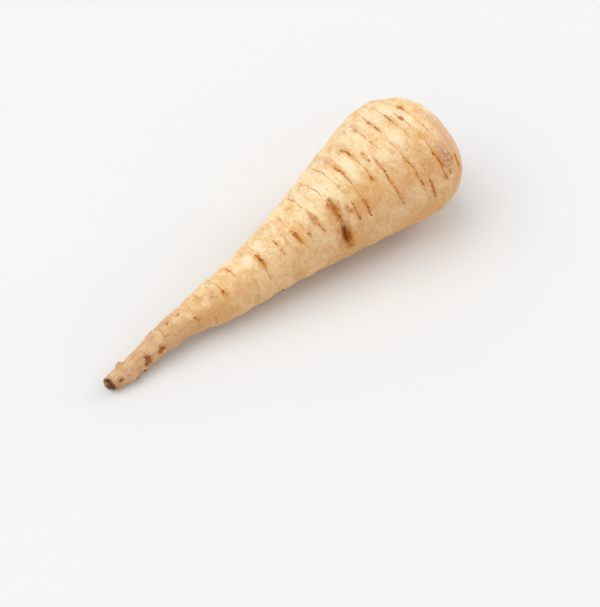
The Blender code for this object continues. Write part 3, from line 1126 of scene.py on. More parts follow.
    def crown(self, sheet: Sheet, place: Wire, colour: Wire) -> Wire:
        """The skin's colour with the crown's grainy face, black groove, brown button and cream ridges; the
        groove's black is painted shade over the ring's own dark cork, and the edge ring outside it a painted
        highlight.

        Args:
            sheet: The material's nodes.
            place: The point on the piece.
            colour: The skin's colour.

        Returns:
            The colour with the crown's.
        """
        grain = place.noise(1.0, 3.0, 0.7)
        weave = place.moved((1.0, 0.7, 1.0)).noise(1.0, 4.0, 0.7, 0.6)
        broad = place.moved((1.0, 1.0, 1.0), (15.0, 5.0, 0.0)).noise(4.0, 3.0, 0.6)
        pits = place.moved((1.0, 1.0, 1.0), (5.0, 35.0, 0.0)).noise(2.2, 2.0, 0.6)
        crust = grain.share(0.40, 0.62).pick(self.crust_dark, self.ridge)
        # The face's edge ring takes the ridges' cream as a painted highlight.
        face = layered(self.face, (weave.share(0.44, 0.72, 0.0, 0.8), self.face_dark),
                       (broad.share(0.42, 0.68, 0.0, 0.7), self.blush),
                       (sheet.field("edge") * 0.8, self.ridge), (sheet.field("crust") * 0.9, crust))
        ochre = broad.share(0.35, 0.6).pick(self.ochre, self.button)
        ridges = (sheet.field("scar_rim") + grain * 1.6 - 0.8).share(0.40, 0.95, 0.0, 0.9)
        button = layered(self.button_dark, (grain.share(0.34, 0.66), self.button),
                         (broad.share(0.40, 0.62, 0.0, 0.7), self.button_pale),
                         (pits.share(0.60, 0.70), self.groove), (sheet.field("scar_ochre") * 0.9, ochre),
                         (ridges, self.ridge))
        # Painted shade in the groove over the ring's own dark cork, flecked with crumbs.
        groove = grain.share(0.56, 0.70).pick(self.groove, self.groove_crumb)
        return layered(colour, (sheet.field("face") * 0.9, face), (sheet.field("button"), button),
                       (sheet.field("groove"), groove))

    def dress(self, sheet: Sheet, place: Wire) -> bpy.types.Material:
        """The skin's material: colour, roughness and fine relief from the same noises and fields.

        Args:
            sheet: The material's nodes.
            place: The point on the piece.

        Returns:
            The material.
        """
        line, ink, skirt = self.crease_ink(sheet, place)
        hair, strands = self.hairlines(place), self.fibres(sheet, place)
        dust = place.moved((1.0, 1.0, 1.0), (9.0, 4.0, 2.0)).specks(1.7, 0.22, 0.26)
        fine = place.noise(0.8, 4.0, 0.6)
        tip_share = (sheet.field("tip") + fine * 0.8 - 0.4).share(0.35, 0.7)
        colour = layered(self.ground(sheet, place), (strands * 0.34, self.tail_fleck),
                         (hair * 0.35, self.vein), (hair * sheet.field("tail") * 0.60, self.tail_fleck),
                         (skirt * 0.75, self.halo))
        colour = layered(self.blemished(sheet, place, colour),
                         (place.specks(4.2, 0.46, 0.34) * 0.80, self.speck), (dust * 0.45, self.speck),
                         (line, ink), (tip_share, fine.share(0.35, 0.6).pick(self.tip_dark, self.tip)))
        rough = sheet.field("face").most(tip_share, sheet.field("cork"), sheet.field("soot"))
        height = fine * 0.045 + hair * -0.04 + strands * -0.10 + line * -0.05 + rough * fine * 0.25
        roughness = fine * 0.20 + (self.roughness - 0.10) + rough * 0.30 + line * 0.25
        return sheet.finish(Base_Color=self.crown(sheet, place, colour), Roughness=roughness,
                            Normal=height.bump(), Specular_IOR_Level=0.18, Subsurface_Weight=0.05,
                            Subsurface_Radius=(1.0, 0.45, 0.2), Subsurface_Scale=0.001)


@dataclass(frozen=True)
class StubFinish(Finish):
    """Side-root stubs: skin below, a brown ragged rim and a dark cup."""

    name: str = "parsnip_stub"
    skin: Colour = tone(214, 166, 114)
    rim: Colour = tone(158, 92, 50)
    cup: Colour = tone(92, 46, 22)
    roughness: float = 0.72

    def dress(self, sheet: Sheet, place: Wire) -> bpy.types.Material:
        """The stubs' material: the cup's share and grains of noise choose between skin, rim and cup.

        Args:
            sheet: The material's nodes.
            place: The point on the piece.

        Returns:
            The material.
        """
        grain = place.noise(0.7, 4.0, 0.65)
        skin = grain.share(0.50, 0.72).pick(self.skin, self.rim)
        inner = grain.share(0.42, 0.60).pick(self.rim, self.cup)
        return sheet.finish(Base_Color=sheet.field("cup").pick(skin, inner), Roughness=self.roughness,
                            Specular_IOR_Level=0.3, Normal=(grain * 0.25).bump())


@dataclass(frozen=True)
class RootletFinish(Finish):
    """Hair roots: straw at the skin, browner towards the end."""

    name: str = "parsnip_rootlet"
    straw: Colour = tone(222, 180, 128)
    brown: Colour = tone(160, 106, 62)
    roughness: float = 0.65

    def dress(self, sheet: Sheet, place: Wire) -> bpy.types.Material:
        """The rootlets' material: straw to brown by the distance along, broken up by noise.

        Args:
            sheet: The material's nodes.
            place: The point on the piece.

        Returns:
            The material.
        """
        grain = place.noise(1.2, 3.0, 0.6)
        along = sheet.field("far") + grain * 1.2 - 0.6
        return sheet.finish(Base_Color=along.share(0.2, 1.0).pick(self.straw, self.brown),
                            Roughness=self.roughness, Normal=(grain * 0.06).bump())


@dataclass(frozen=True)
class FlakeFinish(Finish):
    """Leaf-base flakes: brown and papery, streaked from bottom to top, with pale torn edges."""

    name: str = "parsnip_flake"
    brown: Colour = tone(142, 94, 60)
    dark: Colour = tone(84, 52, 34)
    edge: Colour = tone(214, 182, 142)
    roughness: float = 0.8

    def dress(self, sheet: Sheet, place: Wire) -> bpy.types.Material:
        """The flakes' material: streaks of noise stretched along the axis, and the edge where top is high.

        Args:
            sheet: The material's nodes.
            place: The point on the piece.

        Returns:
            The material.
        """
        streaks = place.moved((0.25, 1.0, 1.0)).noise(0.6, 3.0, 0.6)
        edge = sheet.field("top") + place.noise(2.5) * 1.4 - 0.7
        colour = layered(self.dark, (streaks.share(0.38, 0.62), self.brown),
                         (edge.share(0.55, 0.95), self.edge))
        return sheet.finish(Base_Color=colour, Roughness=self.roughness, Specular_IOR_Level=0.25,
                            Normal=(streaks * 0.20).bump())


@dataclass(frozen=True)
class CrumbFinish(Finish):
    """Dry dark crumbs of old tissue and soil."""

    dark: Colour = tone(58, 37, 26)
    brown: Colour = tone(150, 106, 72)
    roughness: float = 0.9

    def dress(self, sheet: Sheet, place: Wire) -> bpy.types.Material:
        """The crumbs' material: two browns mixed by noise a little larger than a crumb, and a gritty bump.

        Args:
            sheet: The material's nodes.
            place: The point on the piece.

        Returns:
            The material.
        """
        grit = place.noise(0.35, 3.0, 0.7)
        mixed = (place.noise(1.6, 2.0, 0.6) + grit * 0.4).share(0.60, 0.84)
        return sheet.finish(Base_Color=mixed.pick(self.dark, self.brown), Roughness=self.roughness,
                            Specular_IOR_Level=0.2, Normal=(grit * 0.15).bump())


# ---------------------------------------------------------------------------------------------------------
# Pieces
# ---------------------------------------------------------------------------------------------------------

def closed_tubes(grid: np.ndarray, ends: np.ndarray | None = None) -> tuple[np.ndarray, list[list[int]]]:
    """Many closed tubes from one array of rings, each with a fan to a point at both ends.

    Each tube's points come ring by ring, turning so that next-point cross next-ring points outwards, and
    its two end points follow them. All the tubes' quads come before their fans.

    Args:
        grid: Points, with axes for the tube, the ring, the point on the ring, and x, y, z.
        ends: First and last point of each tube, by default the middles of its first and last ring.

    Returns:
        The points, one row each, and the faces.
    """
    count, rings, around, _axes = grid.shape
    if ends is None:
        ends = grid[:, [0, -1]].mean(axis=2)
    points = np.concatenate([grid.reshape(count, -1, 3), ends], axis=1)
    start = (np.arange(count) * (rings * around + 2))[:, None, None]
    low = (np.arange(rings - 1) * around)[:, None]
    here = np.arange(around)
    after = (here + 1) % around
    quads = np.stack([low + here, low + after, low + after + around, low + here + around], axis=-1)
    top = (rings - 1) * around
    middle = np.full(around, rings * around)
    fans = np.concatenate([np.stack([here, middle, after], axis=-1),
                           np.stack([top + here, top + after, middle + 1], axis=-1)])
    faces = (quads.reshape(-1, 4) + start).reshape(-1, 4).tolist() + (fans + start).reshape(-1, 3).tolist()
    return points.reshape(-1, 3), faces


def tube_piece(name: str, form: RootForm, finish: Finish, grid: np.ndarray, fields: dict[str, np.ndarray],
               ends: np.ndarray | None = None) -> bpy.types.Object:
    """A smooth-shaded, dressed object of closed tubes, laid down with the root and riding on its body.

    Args:
        name: Name of the object and its mesh.
        form: The root's form, settled.
        finish: The object's finish.
        grid: The tubes' points in millimetres before the root sways, as closed_tubes takes them.
        fields: Numbers for the finish by name, with axes for the tube, the ring and the point.
        ends: End points of the tubes, as closed_tubes takes them.

    Returns:
        The new object.
    """
    points, faces = closed_tubes(grid, ends)
    mesh = bpy.data.meshes.new(name)
    mesh.from_pydata((form.laid(points) * MM).tolist(), [], faces)
    mesh.shade_smooth()
    mesh.update()
    for field_name, values in fields.items():
        middles = values[:, [0, -1]].mean(axis=2)
        whole = np.concatenate([values.reshape(len(grid), -1), middles], axis=1)
        layer = mesh.attributes.new(field_name, "FLOAT", "POINT")
        layer.data.foreach_set("value", whole.astype(np.float32).ravel())
    mesh.materials.append(finish.material(form.tilt))
    piece = bpy.data.objects.new(name, mesh)
    bpy.context.scene.collection.objects.link(piece)
    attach(piece, BODY)
    return piece


@dataclass
class RootBody:
    """The whole root as one fine closed surface, with the fields that its finish reads."""

    form: RootForm
    creases: CreaseField
    spots: SpotField
    name: str = "parsnip_body"
    lump_height: float = 0.10
    grain_height: float = 0.02
    wrinkle_height: float = 0.05
    wrinkle_length: float = 2.9
    wrinkle_drift: float = 2.2
    tip_height: float = 0.42
    tip_reach: float = 4.0
    crumb_height: float = 0.30
    groove_wobble: float = 0.45
    groove_middle: float = 14.9
    groove_reach: float = 2.6
    face_height: float = 0.10
    ridge_height: float = 0.90
    hollow_depth: float = 0.70
    crust_height: float = 0.45
    crust_radius: float = 18.4
    crust_width: float = 1.5
    scar_warp: float = 0.8
    wander: float = 0.7
    shoulder_fade: float = 12.0
    tip_fade: float = 12.0
    rim_fade: float = 1.44
    tip_stain: float = 2.6
    # Angle of the lit side, away from which the painted side shade grows.
    lit_side_angle: float = -30.0
    # Radius of the painted highlight ring just outside the groove.
    edge_highlight_radius: float = 17.1
    # Radii between which the groove is painted dark, and the angle of the side where that band is thickest:
    # painted shade over the ring's own dark cork.
    groove_dark: Pair = (13.1, 16.0)
    groove_thick_side: float = 130.0
    # First angle, last angle and fade of the arc that has the crumbly band.
    crust_arc: Triple = (205.0, 290.0, 30.0)
    # Each ramp's start and how far it takes, below 0 where it falls.
    inner_wall: Pair = (15.4, -1.6)
    shade_side_ramp: Pair = (34.0, 46.0)
    tail_ramp: Pair = (76.0, -62.0)
    shoulder_ramp: Pair = (196.0, 22.0)

    def skin_relief(self, at: Places, spread: np.ndarray) -> np.ndarray:
        """Relief of the body: the solid's unevenness, creases and stubs, with lumps, wrinkles and grain.

        Wrinkles are sines along the root whose phase a slow noise shifts, and a second noise breaks them
        into patches. Grain and lumps are noise of unit spread times their heights. The tip is ragged.

        Args:
            at: The plain grid.
            spread: The same points in space, in millimetres.

        Returns:
            Height outwards, in millimetres.
        """
        phase = 2.0 * math.pi * at.station / self.wrinkle_length + self.wrinkle_drift * Noise.DRIFT.at(spread)
        relief = self.wrinkle_height * np.sin(phase) * ramp(Noise.PATCHES.at(spread), -0.8, 2.0)
        relief += self.form.unevenness(at) + self.form.stub_relief(at)
        relief += self.creases.relief(at, Noise.UNEVEN.at(spread))
        relief += self.lump_height * Noise.LUMPS.at(spread) + self.grain_height * Noise.GRAIN.at(spread)
        near_tip = bell(np.maximum(at.station, 0.0), self.tip_reach)
        return relief + self.tip_height * Noise.TIP.at(spread) * near_tip

    def scar_plane(self, at: Places) -> tuple[np.ndarray, np.ndarray]:
        """Places across and up the crown, warped by two noises so that no leaf scar is a true oval.

        Args:
            at: The plain grid.

        Returns:
            The places across and the places up, in millimetres from the crown's middle.
        """
        across, up = at.radius * np.sin(at.turn), at.radius * np.cos(at.turn)
        flat = np.stack([across, up, 0.0 * up], axis=-1)
        return (across + self.scar_warp * Noise.SCAR_ACROSS.at(flat),
                up + self.scar_warp * Noise.SCAR_UP.at(flat))

    def crust(self, at: Places) -> np.ndarray:
        """Share of the crumbly band beside the groove: a bell of the radius on one arc."""
        band = bell(at.radius - self.crust_radius, self.crust_width)
        return at.inside * band * arc_window(at.angle, *self.crust_arc)

    def crown_relief(self, at: Places, spread: np.ndarray) -> tuple[np.ndarray, np.ndarray]:
        """Relief of the crown inside the rim, outwards from the axis and along it.

        Outwards, both walls of the groove wander with a slow noise read round it, and a quick noise makes
        the inner one ragged. Along the axis come ridges between hollow leaf scars, crumbs on the button and
        beside the groove, a crumbly band outside it and a fine grain on the face.

        Args:
            at: The plain grid.
            spread: The same points in space, in millimetres.

        Returns:
            The move outwards and the move along the axis, in millimetres.
        """
        ring = about_axis(0.0, self.groove_middle, -at.turn)
        near = bell(at.radius - self.groove_middle, self.groove_reach)
        ragged = Noise.GROOVE_RAGGED.at(ring) * ramp(at.radius, *self.inner_wall)
        outwards = self.groove_wobble * (ragged + 0.6 * Noise.GROOVE_SLOW.at(ring)) * near
        button = ramp(at.radius, self.form.button_radius, -1.2)
        crumbs = Noise.CRUMBS.at(spread)
        ridges = self.form.scar_ridges(*self.scar_plane(at))
        raised = self.ridge_height * ridges * (1.0 + 0.25 * crumbs)
        along = button * (raised - self.hollow_depth * (1.0 - ridges))
        along += self.crumb_height * crumbs * (0.70 * button + 0.8 * near)
        along += self.crust_height * self.crust(at) * (0.6 + crumbs)
        along += self.face_height * Noise.FACE.at(spread) * (1.0 - button)
        return outwards, along

    def surface(self, at: Places) -> np.ndarray:
        """Points of the finished surface before the root sways.

        The body moves out by its relief and the crown by its own, which also moves it along the axis. The
        tip leans by a cosine round it. Two waves round the root and a noise let the rings wander along it.

        Args:
            at: The plain grid.

        Returns:
            Points in millimetres, last axis x, y, z.
        """
        form, radius, station, turn = self.form, at.radius, at.station, at.turn
        spread = form.swayed(about_axis(station, radius, turn))
        on_body = ramp(station, form.rim_station, -self.rim_fade) * ramp(station, 0.0, 1.0) * ~at.inside
        on_crown = ramp(radius, form.rim_radius, -1.0) * at.inside
        outwards, along = self.crown_relief(at, spread)
        lean = form.tip_lean * np.cos(turn - 0.5) * radius / form.body_profile[0][1]
        wander = self.wander * np.sin(2.0 * turn + station / 11.0) + 0.15 * Noise.WANDER.at(spread)
        wander *= on_body * ramp(station, 0.0, self.tip_fade)
        wander *= ramp(station, form.rim_station, -self.shoulder_fade)
        new_radius = radius + on_body * self.skin_relief(at, spread) + on_crown * outwards
        new_station = station + on_crown * along + lean * ramp(station, 2.0, -2.0) + wander
        return about_axis(new_station, new_radius, turn)

    def fields(self, at: Places) -> dict[str, np.ndarray]:
        """Every number that the finish reads on the grid.

        Masks of the crown go by radius: its face starts inside the rim, the groove is the stretch round its
        middle and the button all that is inside it. Ochre marks the inside of the first leaf scar. The dark
        of the groove, painted shade over the ring's own dark cork, is thinner on the side away from its thick
        arc. The edge ring just outside the groove is a painted highlight.

        Args:
            at: The plain grid.

        Returns:
            One array for each attribute's name.
        """
        form, radius, station, inside = self.form, at.radius, at.station, at.inside
        scars = self.scar_plane(at)
        button = inside * ramp(radius, form.button_radius + 0.4, -0.8)
        # Painted shade, partly the skin's own tan: 0 on the lit side, 1 on the sides away from it.
        flank_shade_and_tan = ramp(np.abs(angle_between(at.angle, self.lit_side_angle)), *self.shade_side_ramp)
        tip = ~inside * bell(np.maximum(station, 0.0), self.tip_stain)
        # The groove's dark band: painted shade over the ring's own dark cork, thicker on one side.
        thick = 0.5 + 0.5 * np.cos(np.radians(at.angle - self.groove_thick_side))
        inner, outer = self.groove_dark
        groove = ramp(radius, inner - 0.5 * thick, 0.7) * ramp(radius, outer + 0.6 * thick, -0.6)
        return {
            **self.creases.colour_fields(at),
            **self.spots.fields(at),
            "flank_shade_and_tan": flank_shade_and_tan,
            "tail": ramp(station, *self.tail_ramp),
            "tip": tip * (0.75 + 0.25 * np.cos(at.turn - 1.3)),
            # The painted shade of the far sides near the crown, partly the shoulder's own pinkish tan.
            "shoulder": ramp(station, *self.shoulder_ramp) * flank_shade_and_tan,
            "face": (station > form.belly[0]) * ramp(radius, form.rim_radius + 1.2, -2.2),
            "groove": inside * groove,
            # A painted highlight on a ring just outside the groove.
            "edge": inside * bell(radius - self.edge_highlight_radius, 0.5),
            "button": button,
            "scar_rim": button * form.scar_ridges(*scars),
            "scar_ochre": button * ramp(form.scar_distance(*scars)[0], 1.0, -0.25),
            "crust": self.crust(at),
        }

    def flat_map(self, at: Places) -> np.ndarray:
        """Places on the flat map for each corner of each face: share round the root, share along it.

        The share along is the length of the profile so far, over its whole length. The seam runs along
        underneath.

        Args:
            at: The plain grid.

        Returns:
            One (u, v) row for each corner, in the order of the faces' corners.
        """
        around = at.radius.shape[1]
        first, last = at.radius[[0, -1], 0]
        length = np.cumsum([first, *np.hypot(np.diff(at.radius[:, 0]), np.diff(at.station[:, 0]))])
        v = length / (length[-1] + last)
        bands = [((0, low), (1, low), (1, high), (0, high)) for low, high in zip(v, v[1:])]
        bands += [((0, v[0]), (0.5, 0), (1, v[0])), ((0, v[-1]), (1, v[-1]), (0.5, 1))]
        step = np.arange(around)[:, None, None] * np.array([1.0, 0.0])
        return np.concatenate([(np.array(band) + step).reshape(-1, 2) for band in bands]) / (around, 1.0)

    def build(self, finish: Finish) -> bpy.types.Object:
        """Makes the body, which settles the form, and lets it stand for the solid.

        Args:
            finish: The skin's finish.

        Returns:
            The piece.
        """
        at = self.form.grid(self.creases.stations())
        grid = self.surface(at)[None]
        ends = np.array([[(self.form.tip_cup_depth, 0.0, 0.0), grid[0, -1].mean(axis=0)]])
        self.form.settle(self.form.swayed(closed_tubes(grid, ends)[0]))
        fields = {name: values[None] for name, values in self.fields(at).items()}
        piece = tube_piece(self.name, self.form, finish, grid, fields, ends)
        layer = piece.data.uv_layers.new(name="OFBake")
        layer.data.foreach_set("uv", self.flat_map(at).astype(np.float32).ravel())
        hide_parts(CAD_NODE)
        return piece


@dataclass
class SmallPiece:
    """A piece of many short closed tubes on the settled root, drawn by chance from its seed."""

    form: RootForm
    name: str
    seed: int
    around: int

    def shape(self, draw: np.random.Generator) -> tuple[np.ndarray, dict[str, np.ndarray]]:
        """The tubes' points before the root sways, and the numbers for the finish, drawn by chance."""
        raise NotImplementedError

    def build(self, finish: Finish) -> bpy.types.Object:
        """Makes the piece and dresses it."""
        return tube_piece(self.name, self.form, finish, *self.shape(np.random.default_rng(self.seed)))


@dataclass
class SideRootStubs(SmallPiece):
    """Broken ends of side roots: short tubes with a ragged cup at the end, leaning towards the tip."""

    name: str = "side_root_stubs"
    seed: int = 51
    around: int = 16
    profile: Points = ((1.68, -0.60), (1.60, -0.10), (1.38, 0.35), (1.22, 0.70), (1.02, 0.94), (0.70, 0.88),
                       (0.40, 0.64), (0.16, 0.52))
    lean: float = 16.0
    foot: float = 0.35
    torn: float = 1.125
    ragged: float = 0.16
    cup_from: int = 4

    def shape(self, draw: np.random.Generator) -> tuple[np.ndarray, dict[str, np.ndarray]]:
        """Rings of the profile round each stub's leaning axis, their radius wavy by two sines round them.

        Args:
            draw: Source of what is drawn by chance.

        Returns:
            The tubes' points before the root sways, and the numbers for the finish.
        """
        station, angle, height = np.array(self.form.stubs, dtype=float).T
        point, outward, axis, _side = self.form.skin_frame(station, angle)
        lean = math.radians(self.lean)
        along = outward * math.cos(lean) - axis * math.sin(lean)
        first = axis * math.cos(lean) + outward * math.sin(lean)
        second = np.cross(along, first)
        base = point + outward * (self.foot * height[:, None])
        radius, rise = np.array(self.profile).T[..., None]
        turn = circle(self.around)
        phase = draw.uniform(0.0, 2.0 * math.pi, (len(station), 1, 1))
        lobes = 1.0 + self.ragged * (np.sin(3.0 * turn + phase) + 0.5 * np.sin(5.0 * turn - phase))
        up = rise + self.torn * np.maximum(rise, 0.0) * (lobes - 1.0)
        ring = first[:, None, None] * np.cos(turn)[:, None] + second[:, None, None] * np.sin(turn)[:, None]
        tube = along[:, None, None] * up[..., None] + ring * (radius * lobes)[..., None]
        cup = 1.0 * (np.arange(len(radius))[:, None] >= self.cup_from)
        grid = base[:, None, None] + height[:, None, None, None] * tube
        return grid, {"cup": np.broadcast_to(cup, grid.shape[:-1])}


@dataclass
class Rootlets(SmallPiece):
    """Hair roots: thin tapering tubes that curl away from the tail."""

    name: str = "rootlets"
    seed: int = 61
    around: int = 6
    places: Points = ((16.0, 230.0), (26.0, 222.0), (37.0, 240.0), (45.0, 228.0), (63.0, 232.0),
                      (81.0, 224.0), (97.0, 234.0), (124.0, 228.0))
    lengths: Pair = (2.5, 4.5)
    curls: Pair = (0.9, 1.7)
    waves: Pair = (-0.7, 0.7)
    thick: float = 0.17
    thin: float = 0.05
    sunk: float = 0.3
    rings: int = 12

    def shape(self, draw: np.random.Generator) -> tuple[np.ndarray, dict[str, np.ndarray]]:
        """Rings that shrink along an arc from outwards to tipwards, with a slow wave to the side.

        Args:
            draw: Source of what is drawn by chance.

        Returns:
            The tubes' points before the root sways, and the numbers for the finish.
        """
        station, angle = np.array(self.places).T
        point, outward, axis, side = [row[:, None] for row in self.form.skin_frame(station, angle)]
        length, curl, wave = [draw.uniform(*span, (len(station), 1, 1))
                              for span in (self.lengths, self.curls, self.waves)]
        share = np.linspace(0.0, 1.0, self.rings)[:, None]
        bent = curl * share
        middle = point + length * (np.sin(bent) * outward - (1.0 - np.cos(bent)) * axis) / curl
        middle += wave * np.sin(4.0 * share) * side - self.sunk * outward
        second = np.cross(np.cos(bent) * outward - np.sin(bent) * axis, side)
        turn = circle(self.around)[:, None]
        radius = self.thick + (self.thin - self.thick) * share
        ring = side[:, :, None] * np.cos(turn) + second[:, :, None] * np.sin(turn)
        grid = middle[:, :, None] + radius[..., None] * ring
        return grid, {"far": np.broadcast_to(share, grid.shape[:-1])}


@dataclass
class LeafFlakes(SmallPiece):
    """Papery remains of leaf stalks along the inner edge of the crown's groove."""

    name: str = "leaf_base_flakes"
    seed: int = 71
    around: int = 10
    count: int = 15
    spans: Pair = (16.0, 42.0)
    radii: Pair = (11.4, 13.0)
    heights: Pair = (1.1, 2.6)
    flares: Pair = (-0.5, 0.7)
    shift: float = 9.0
    torn: float = 0.28
    sunk: float = 0.25
    half_thickness: float = 0.20
    rings: int = 14

    def shape(self, draw: np.random.Generator) -> tuple[np.ndarray, dict[str, np.ndarray]]:
        """Flat oval sections carried along short arcs, their height ragged and falling to 0 at the ends.

        Args:
            draw: Source of what is drawn by chance.

        Returns:
            The tubes' points before the root sways, and the numbers for the finish.
        """
        count = (self.count, 1, 1)
        share = np.linspace(-1.0, 1.0, self.rings)[:, None]
        angle = draw.uniform(-self.shift, self.shift, count) + 0.5 * draw.uniform(*self.spans, count) * share
        turn = circle(self.count)[:, None, None] + np.radians(angle)
        radius = draw.uniform(*self.radii, count)
        ragged = 1.0 + self.torn * np.sin(7.0 * share + draw.uniform(0.0, 6.0, count)) * np.sin(3.0 * share)
        high = draw.uniform(*self.heights, count) * np.sqrt(np.clip(1.02 - share ** 2, 0.0, 1.0)) * ragged
        flare = draw.uniform(*self.flares, count)
        section = circle(self.around)
        rise = high * np.cos(section)
        thickness = self.half_thickness * (1.0 - 0.35 * np.cos(section)) * np.sin(section)
        far = radius + thickness + flare * np.maximum(rise, 0.0) + 0.25 * np.sin(5.0 * share + radius)
        height = self.form.crown_height(np.minimum(radius, self.form.button_radius)) - self.sunk + rise
        grid = about_axis(height, far, turn)
        return grid, {"top": np.broadcast_to(0.5 + 0.5 * np.cos(section), grid.shape[:-1])}


@dataclass
class Crumbs(SmallPiece):
    """Small closed crumbs of dark tissue."""

    around: int = 7
    sizes: Pair = (0.30, 0.85)
    rings: int = 4
    uneven: float = 0.16
    squash: Pair = (0.55, 1.0)

    def places(self, draw: np.random.Generator) -> np.ndarray:
        """Places of the crumbs before the root sways, one row each."""
        raise NotImplementedError

    def shape(self, draw: np.random.Generator) -> tuple[np.ndarray, dict[str, np.ndarray]]:
        """Rings of a flattened ball round each place, every point moved in or out by chance.

        Args:
            draw: Source of what is drawn by chance.

        Returns:
            The tubes' points before the root sways, and the numbers for the finish.
        """
        places = self.places(np.random.default_rng(self.seed + 1))[:, None, None]
        size = draw.uniform(*self.sizes, (len(places), 1, 1, 1))
        flat = draw.uniform(*self.squash, (len(places), 1, 1, 3))
        polar = np.radians(np.linspace(-60.0, 60.0, self.rings))[:, None]
        ball = about_axis(np.sin(polar), np.cos(polar), circle(self.around) - 0.5 * math.pi)
        chance = 1.0 + self.uneven * draw.normal(size=(len(places), self.rings, self.around, 1))
        return places + size * flat * chance * ball, {}


@dataclass
class GrooveCrumbs(Crumbs):
    """Crumbs in the crown's groove, along its inner wall and on the button's edge."""

    name: str = "groove_crumbs"
    seed: int = 81
    count: int = 110
    radii: Pair = (11.6, 14.4)

    def places(self, draw: np.random.Generator) -> np.ndarray:
        """Places on the crown's profile and a little over it, at even chance in radius and turn.

        Args:
            draw: Source of what is drawn by chance.

        Returns:
            One row of x, y, z for each crumb.
        """
        turn = draw.uniform(0.0, 2.0 * math.pi, self.count)
        radius = draw.uniform(*self.radii, self.count)
        return about_axis(self.form.crown_height(radius) + draw.uniform(0.0, 0.8, self.count), radius, turn)


@dataclass
class TipCrumbs(Crumbs):
    """Crumbs on the broken tip."""

    name: str = "tip_crumbs"
    seed: int = 91
    sizes: Pair = (0.22, 0.55)
    count: int = 34
    reach: float = 2.9
    dome: float = 0.9

    def places(self, draw: np.random.Generator) -> np.ndarray:
        """Places on the leaning end of the tip, whose height falls from the middle by the radius squared.

        Args:
            draw: Source of what is drawn by chance.

        Returns:
            One row of x, y, z for each crumb.
        """
        turn = draw.uniform(0.0, 2.0 * math.pi, self.count)
        share = np.sqrt(draw.uniform(0.1, 1.0, self.count))
        station = self.dome * (1.0 - share ** 2) + self.form.tip_lean * np.cos(turn - 0.5) * share
        return about_axis(station, self.reach * share, turn)


# ---------------------------------------------------------------------------------------------------------
# Studio
# ---------------------------------------------------------------------------------------------------------

@dataclass(frozen=True)
class Softbox:
    """One square soft light: where it stands, how wide it is, its power and its colour."""

    name: str
    place: Triple
    width: float
    power: float
    colour: Triple


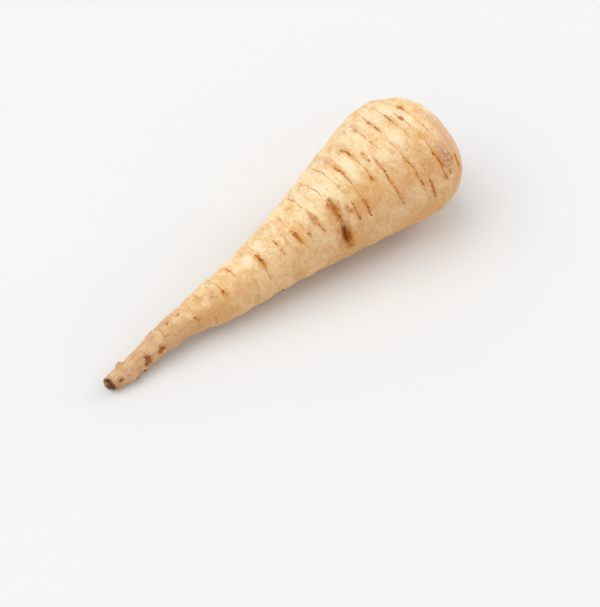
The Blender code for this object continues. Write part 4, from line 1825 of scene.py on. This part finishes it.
@dataclass(frozen=True)
class Studio:
    """Pale floor, soft lights and the camera."""

    floor_radius: float = 40.0
    floor_sink: float = 0.0002
    floor_colour: Colour = (0.818, 0.822, 0.826, 1.0)
    floor_roughness: float = 0.95
    world_colour: Colour = (1.0, 1.0, 0.992, 1.0)
    world_strength: float = 0.66
    softboxes: tuple[Softbox, ...] = (
        Softbox("key", (-2.6, 1.9, 6.4), 7.0, 280.0, (1.0, 0.985, 0.965)),
        Softbox("fill", (5.5, -0.5, 2.4), 3.0, 90.0, (1.0, 1.0, 1.0)),
    )
    azimuth: float = -39.5
    elevation: float = 51.5
    distance: float = 1.1
    aim: Triple = (0.0, 0.0, 0.020)
    lens: float = 127.2
    sensor: float = 36.0
    turn_right: float = 0.617
    turn_down: float = 1.297

    def add(self, name: str, data: bpy.types.ID) -> bpy.types.Object:
        """Adds an object to the scene.

        Args:
            name: Its name.
            data: The mesh, light or camera that it holds.

        Returns:
            The object.
        """
        added = bpy.data.objects.new(name, data)
        bpy.context.scene.collection.objects.link(added)
        return added

    def make_floor(self) -> bpy.types.Object:
        """A wide disc just under the root, in a plain matt finish.

        Returns:
            The floor.
        """
        turn = circle(96)
        sunk = np.full_like(turn, -self.floor_sink)
        ring = np.stack([self.floor_radius * np.cos(turn), self.floor_radius * np.sin(turn), sunk], axis=1)
        mesh = bpy.data.meshes.new("floor")
        mesh.from_pydata(ring.tolist(), [], [range(len(turn))])
        mesh.materials.append(Sheet("floor_matt").finish(
            Base_Color=self.floor_colour, Roughness=self.floor_roughness, Specular_IOR_Level=0.0))
        floor = self.add("floor", mesh)
        return floor

    def make_light(self, box: Softbox) -> bpy.types.Object:
        """A square area light that faces the root.

        Args:
            box: The light's place, width, power and colour.

        Returns:
            The light.
        """
        lamp = bpy.data.lights.new(box.name, "AREA")
        lamp.shape = "SQUARE"
        lamp.size, lamp.energy, lamp.color = box.width, box.power, box.colour
        light = self.add(box.name, lamp)
        light.location = box.place
        light.rotation_euler = (Vector(self.aim) - light.location).to_track_quat("-Z", "Y").to_euler()
        return light

    def make_camera(self) -> bpy.types.Object:
        """The camera, looking down at the root from its tail end and turned a little right and down.

        Returns:
            The camera.
        """
        azimuth, elevation = math.radians(self.azimuth), math.radians(self.elevation)
        right = Vector((math.cos(azimuth), math.sin(azimuth), 0.0))
        level = Vector((math.sin(azimuth), -math.cos(azimuth), 0.0))
        back = level * math.cos(elevation) + Vector((0.0, 0.0, math.sin(elevation)))
        facing = Matrix((right, back.cross(right), back)).transposed().to_quaternion()
        turn = Euler((math.radians(-self.turn_down), math.radians(-self.turn_right), 0.0)).to_quaternion()
        lens = bpy.data.cameras.new("camera")
        lens.lens, lens.sensor_width = self.lens, self.sensor
        lens.clip_start, lens.clip_end = 0.05, 100.0
        camera = self.add("camera", lens)
        camera.location = Vector(self.aim) + back * self.distance
        camera.rotation_mode = "QUATERNION"
        camera.rotation_quaternion = facing @ turn
        bpy.context.scene.camera = camera
        return camera

    def build(self) -> None:
        """Makes the camera, the floor, the lights and the even light all round."""
        scene = bpy.context.scene
        self.make_camera()
        self.make_floor()
        for box in self.softboxes:
            self.make_light(box)
        world = bpy.data.worlds.new("studio")
        world.use_nodes = True
        surround = world.node_tree.nodes["Background"]
        surround.inputs["Color"].default_value = self.world_colour
        surround.inputs["Strength"].default_value = self.world_strength
        scene.world = world
        scene.view_settings.view_transform = "Standard"
        log.info("studio: %d lights", len(self.softboxes))


def main() -> None:
    """Builds the studio and the dressed root, its body first because that settles the form."""
    logging.basicConfig(level=logging.INFO, format="%(name)s: %(message)s")
    Studio().build()
    form = RootForm()
    pieces = (RootBody(form, CreaseField(), SpotField()).build(SkinFinish()),
              SideRootStubs(form).build(StubFinish()),
              Rootlets(form).build(RootletFinish()),
              LeafFlakes(form).build(FlakeFinish()),
              GrooveCrumbs(form).build(CrumbFinish("groove_crumb")),
              TipCrumbs(form).build(CrumbFinish("tip_crumb")))
    for piece in pieces:
        log.info("%s: %d faces", piece.name, len(piece.data.polygons))


if __name__ == "__main__":
    main()
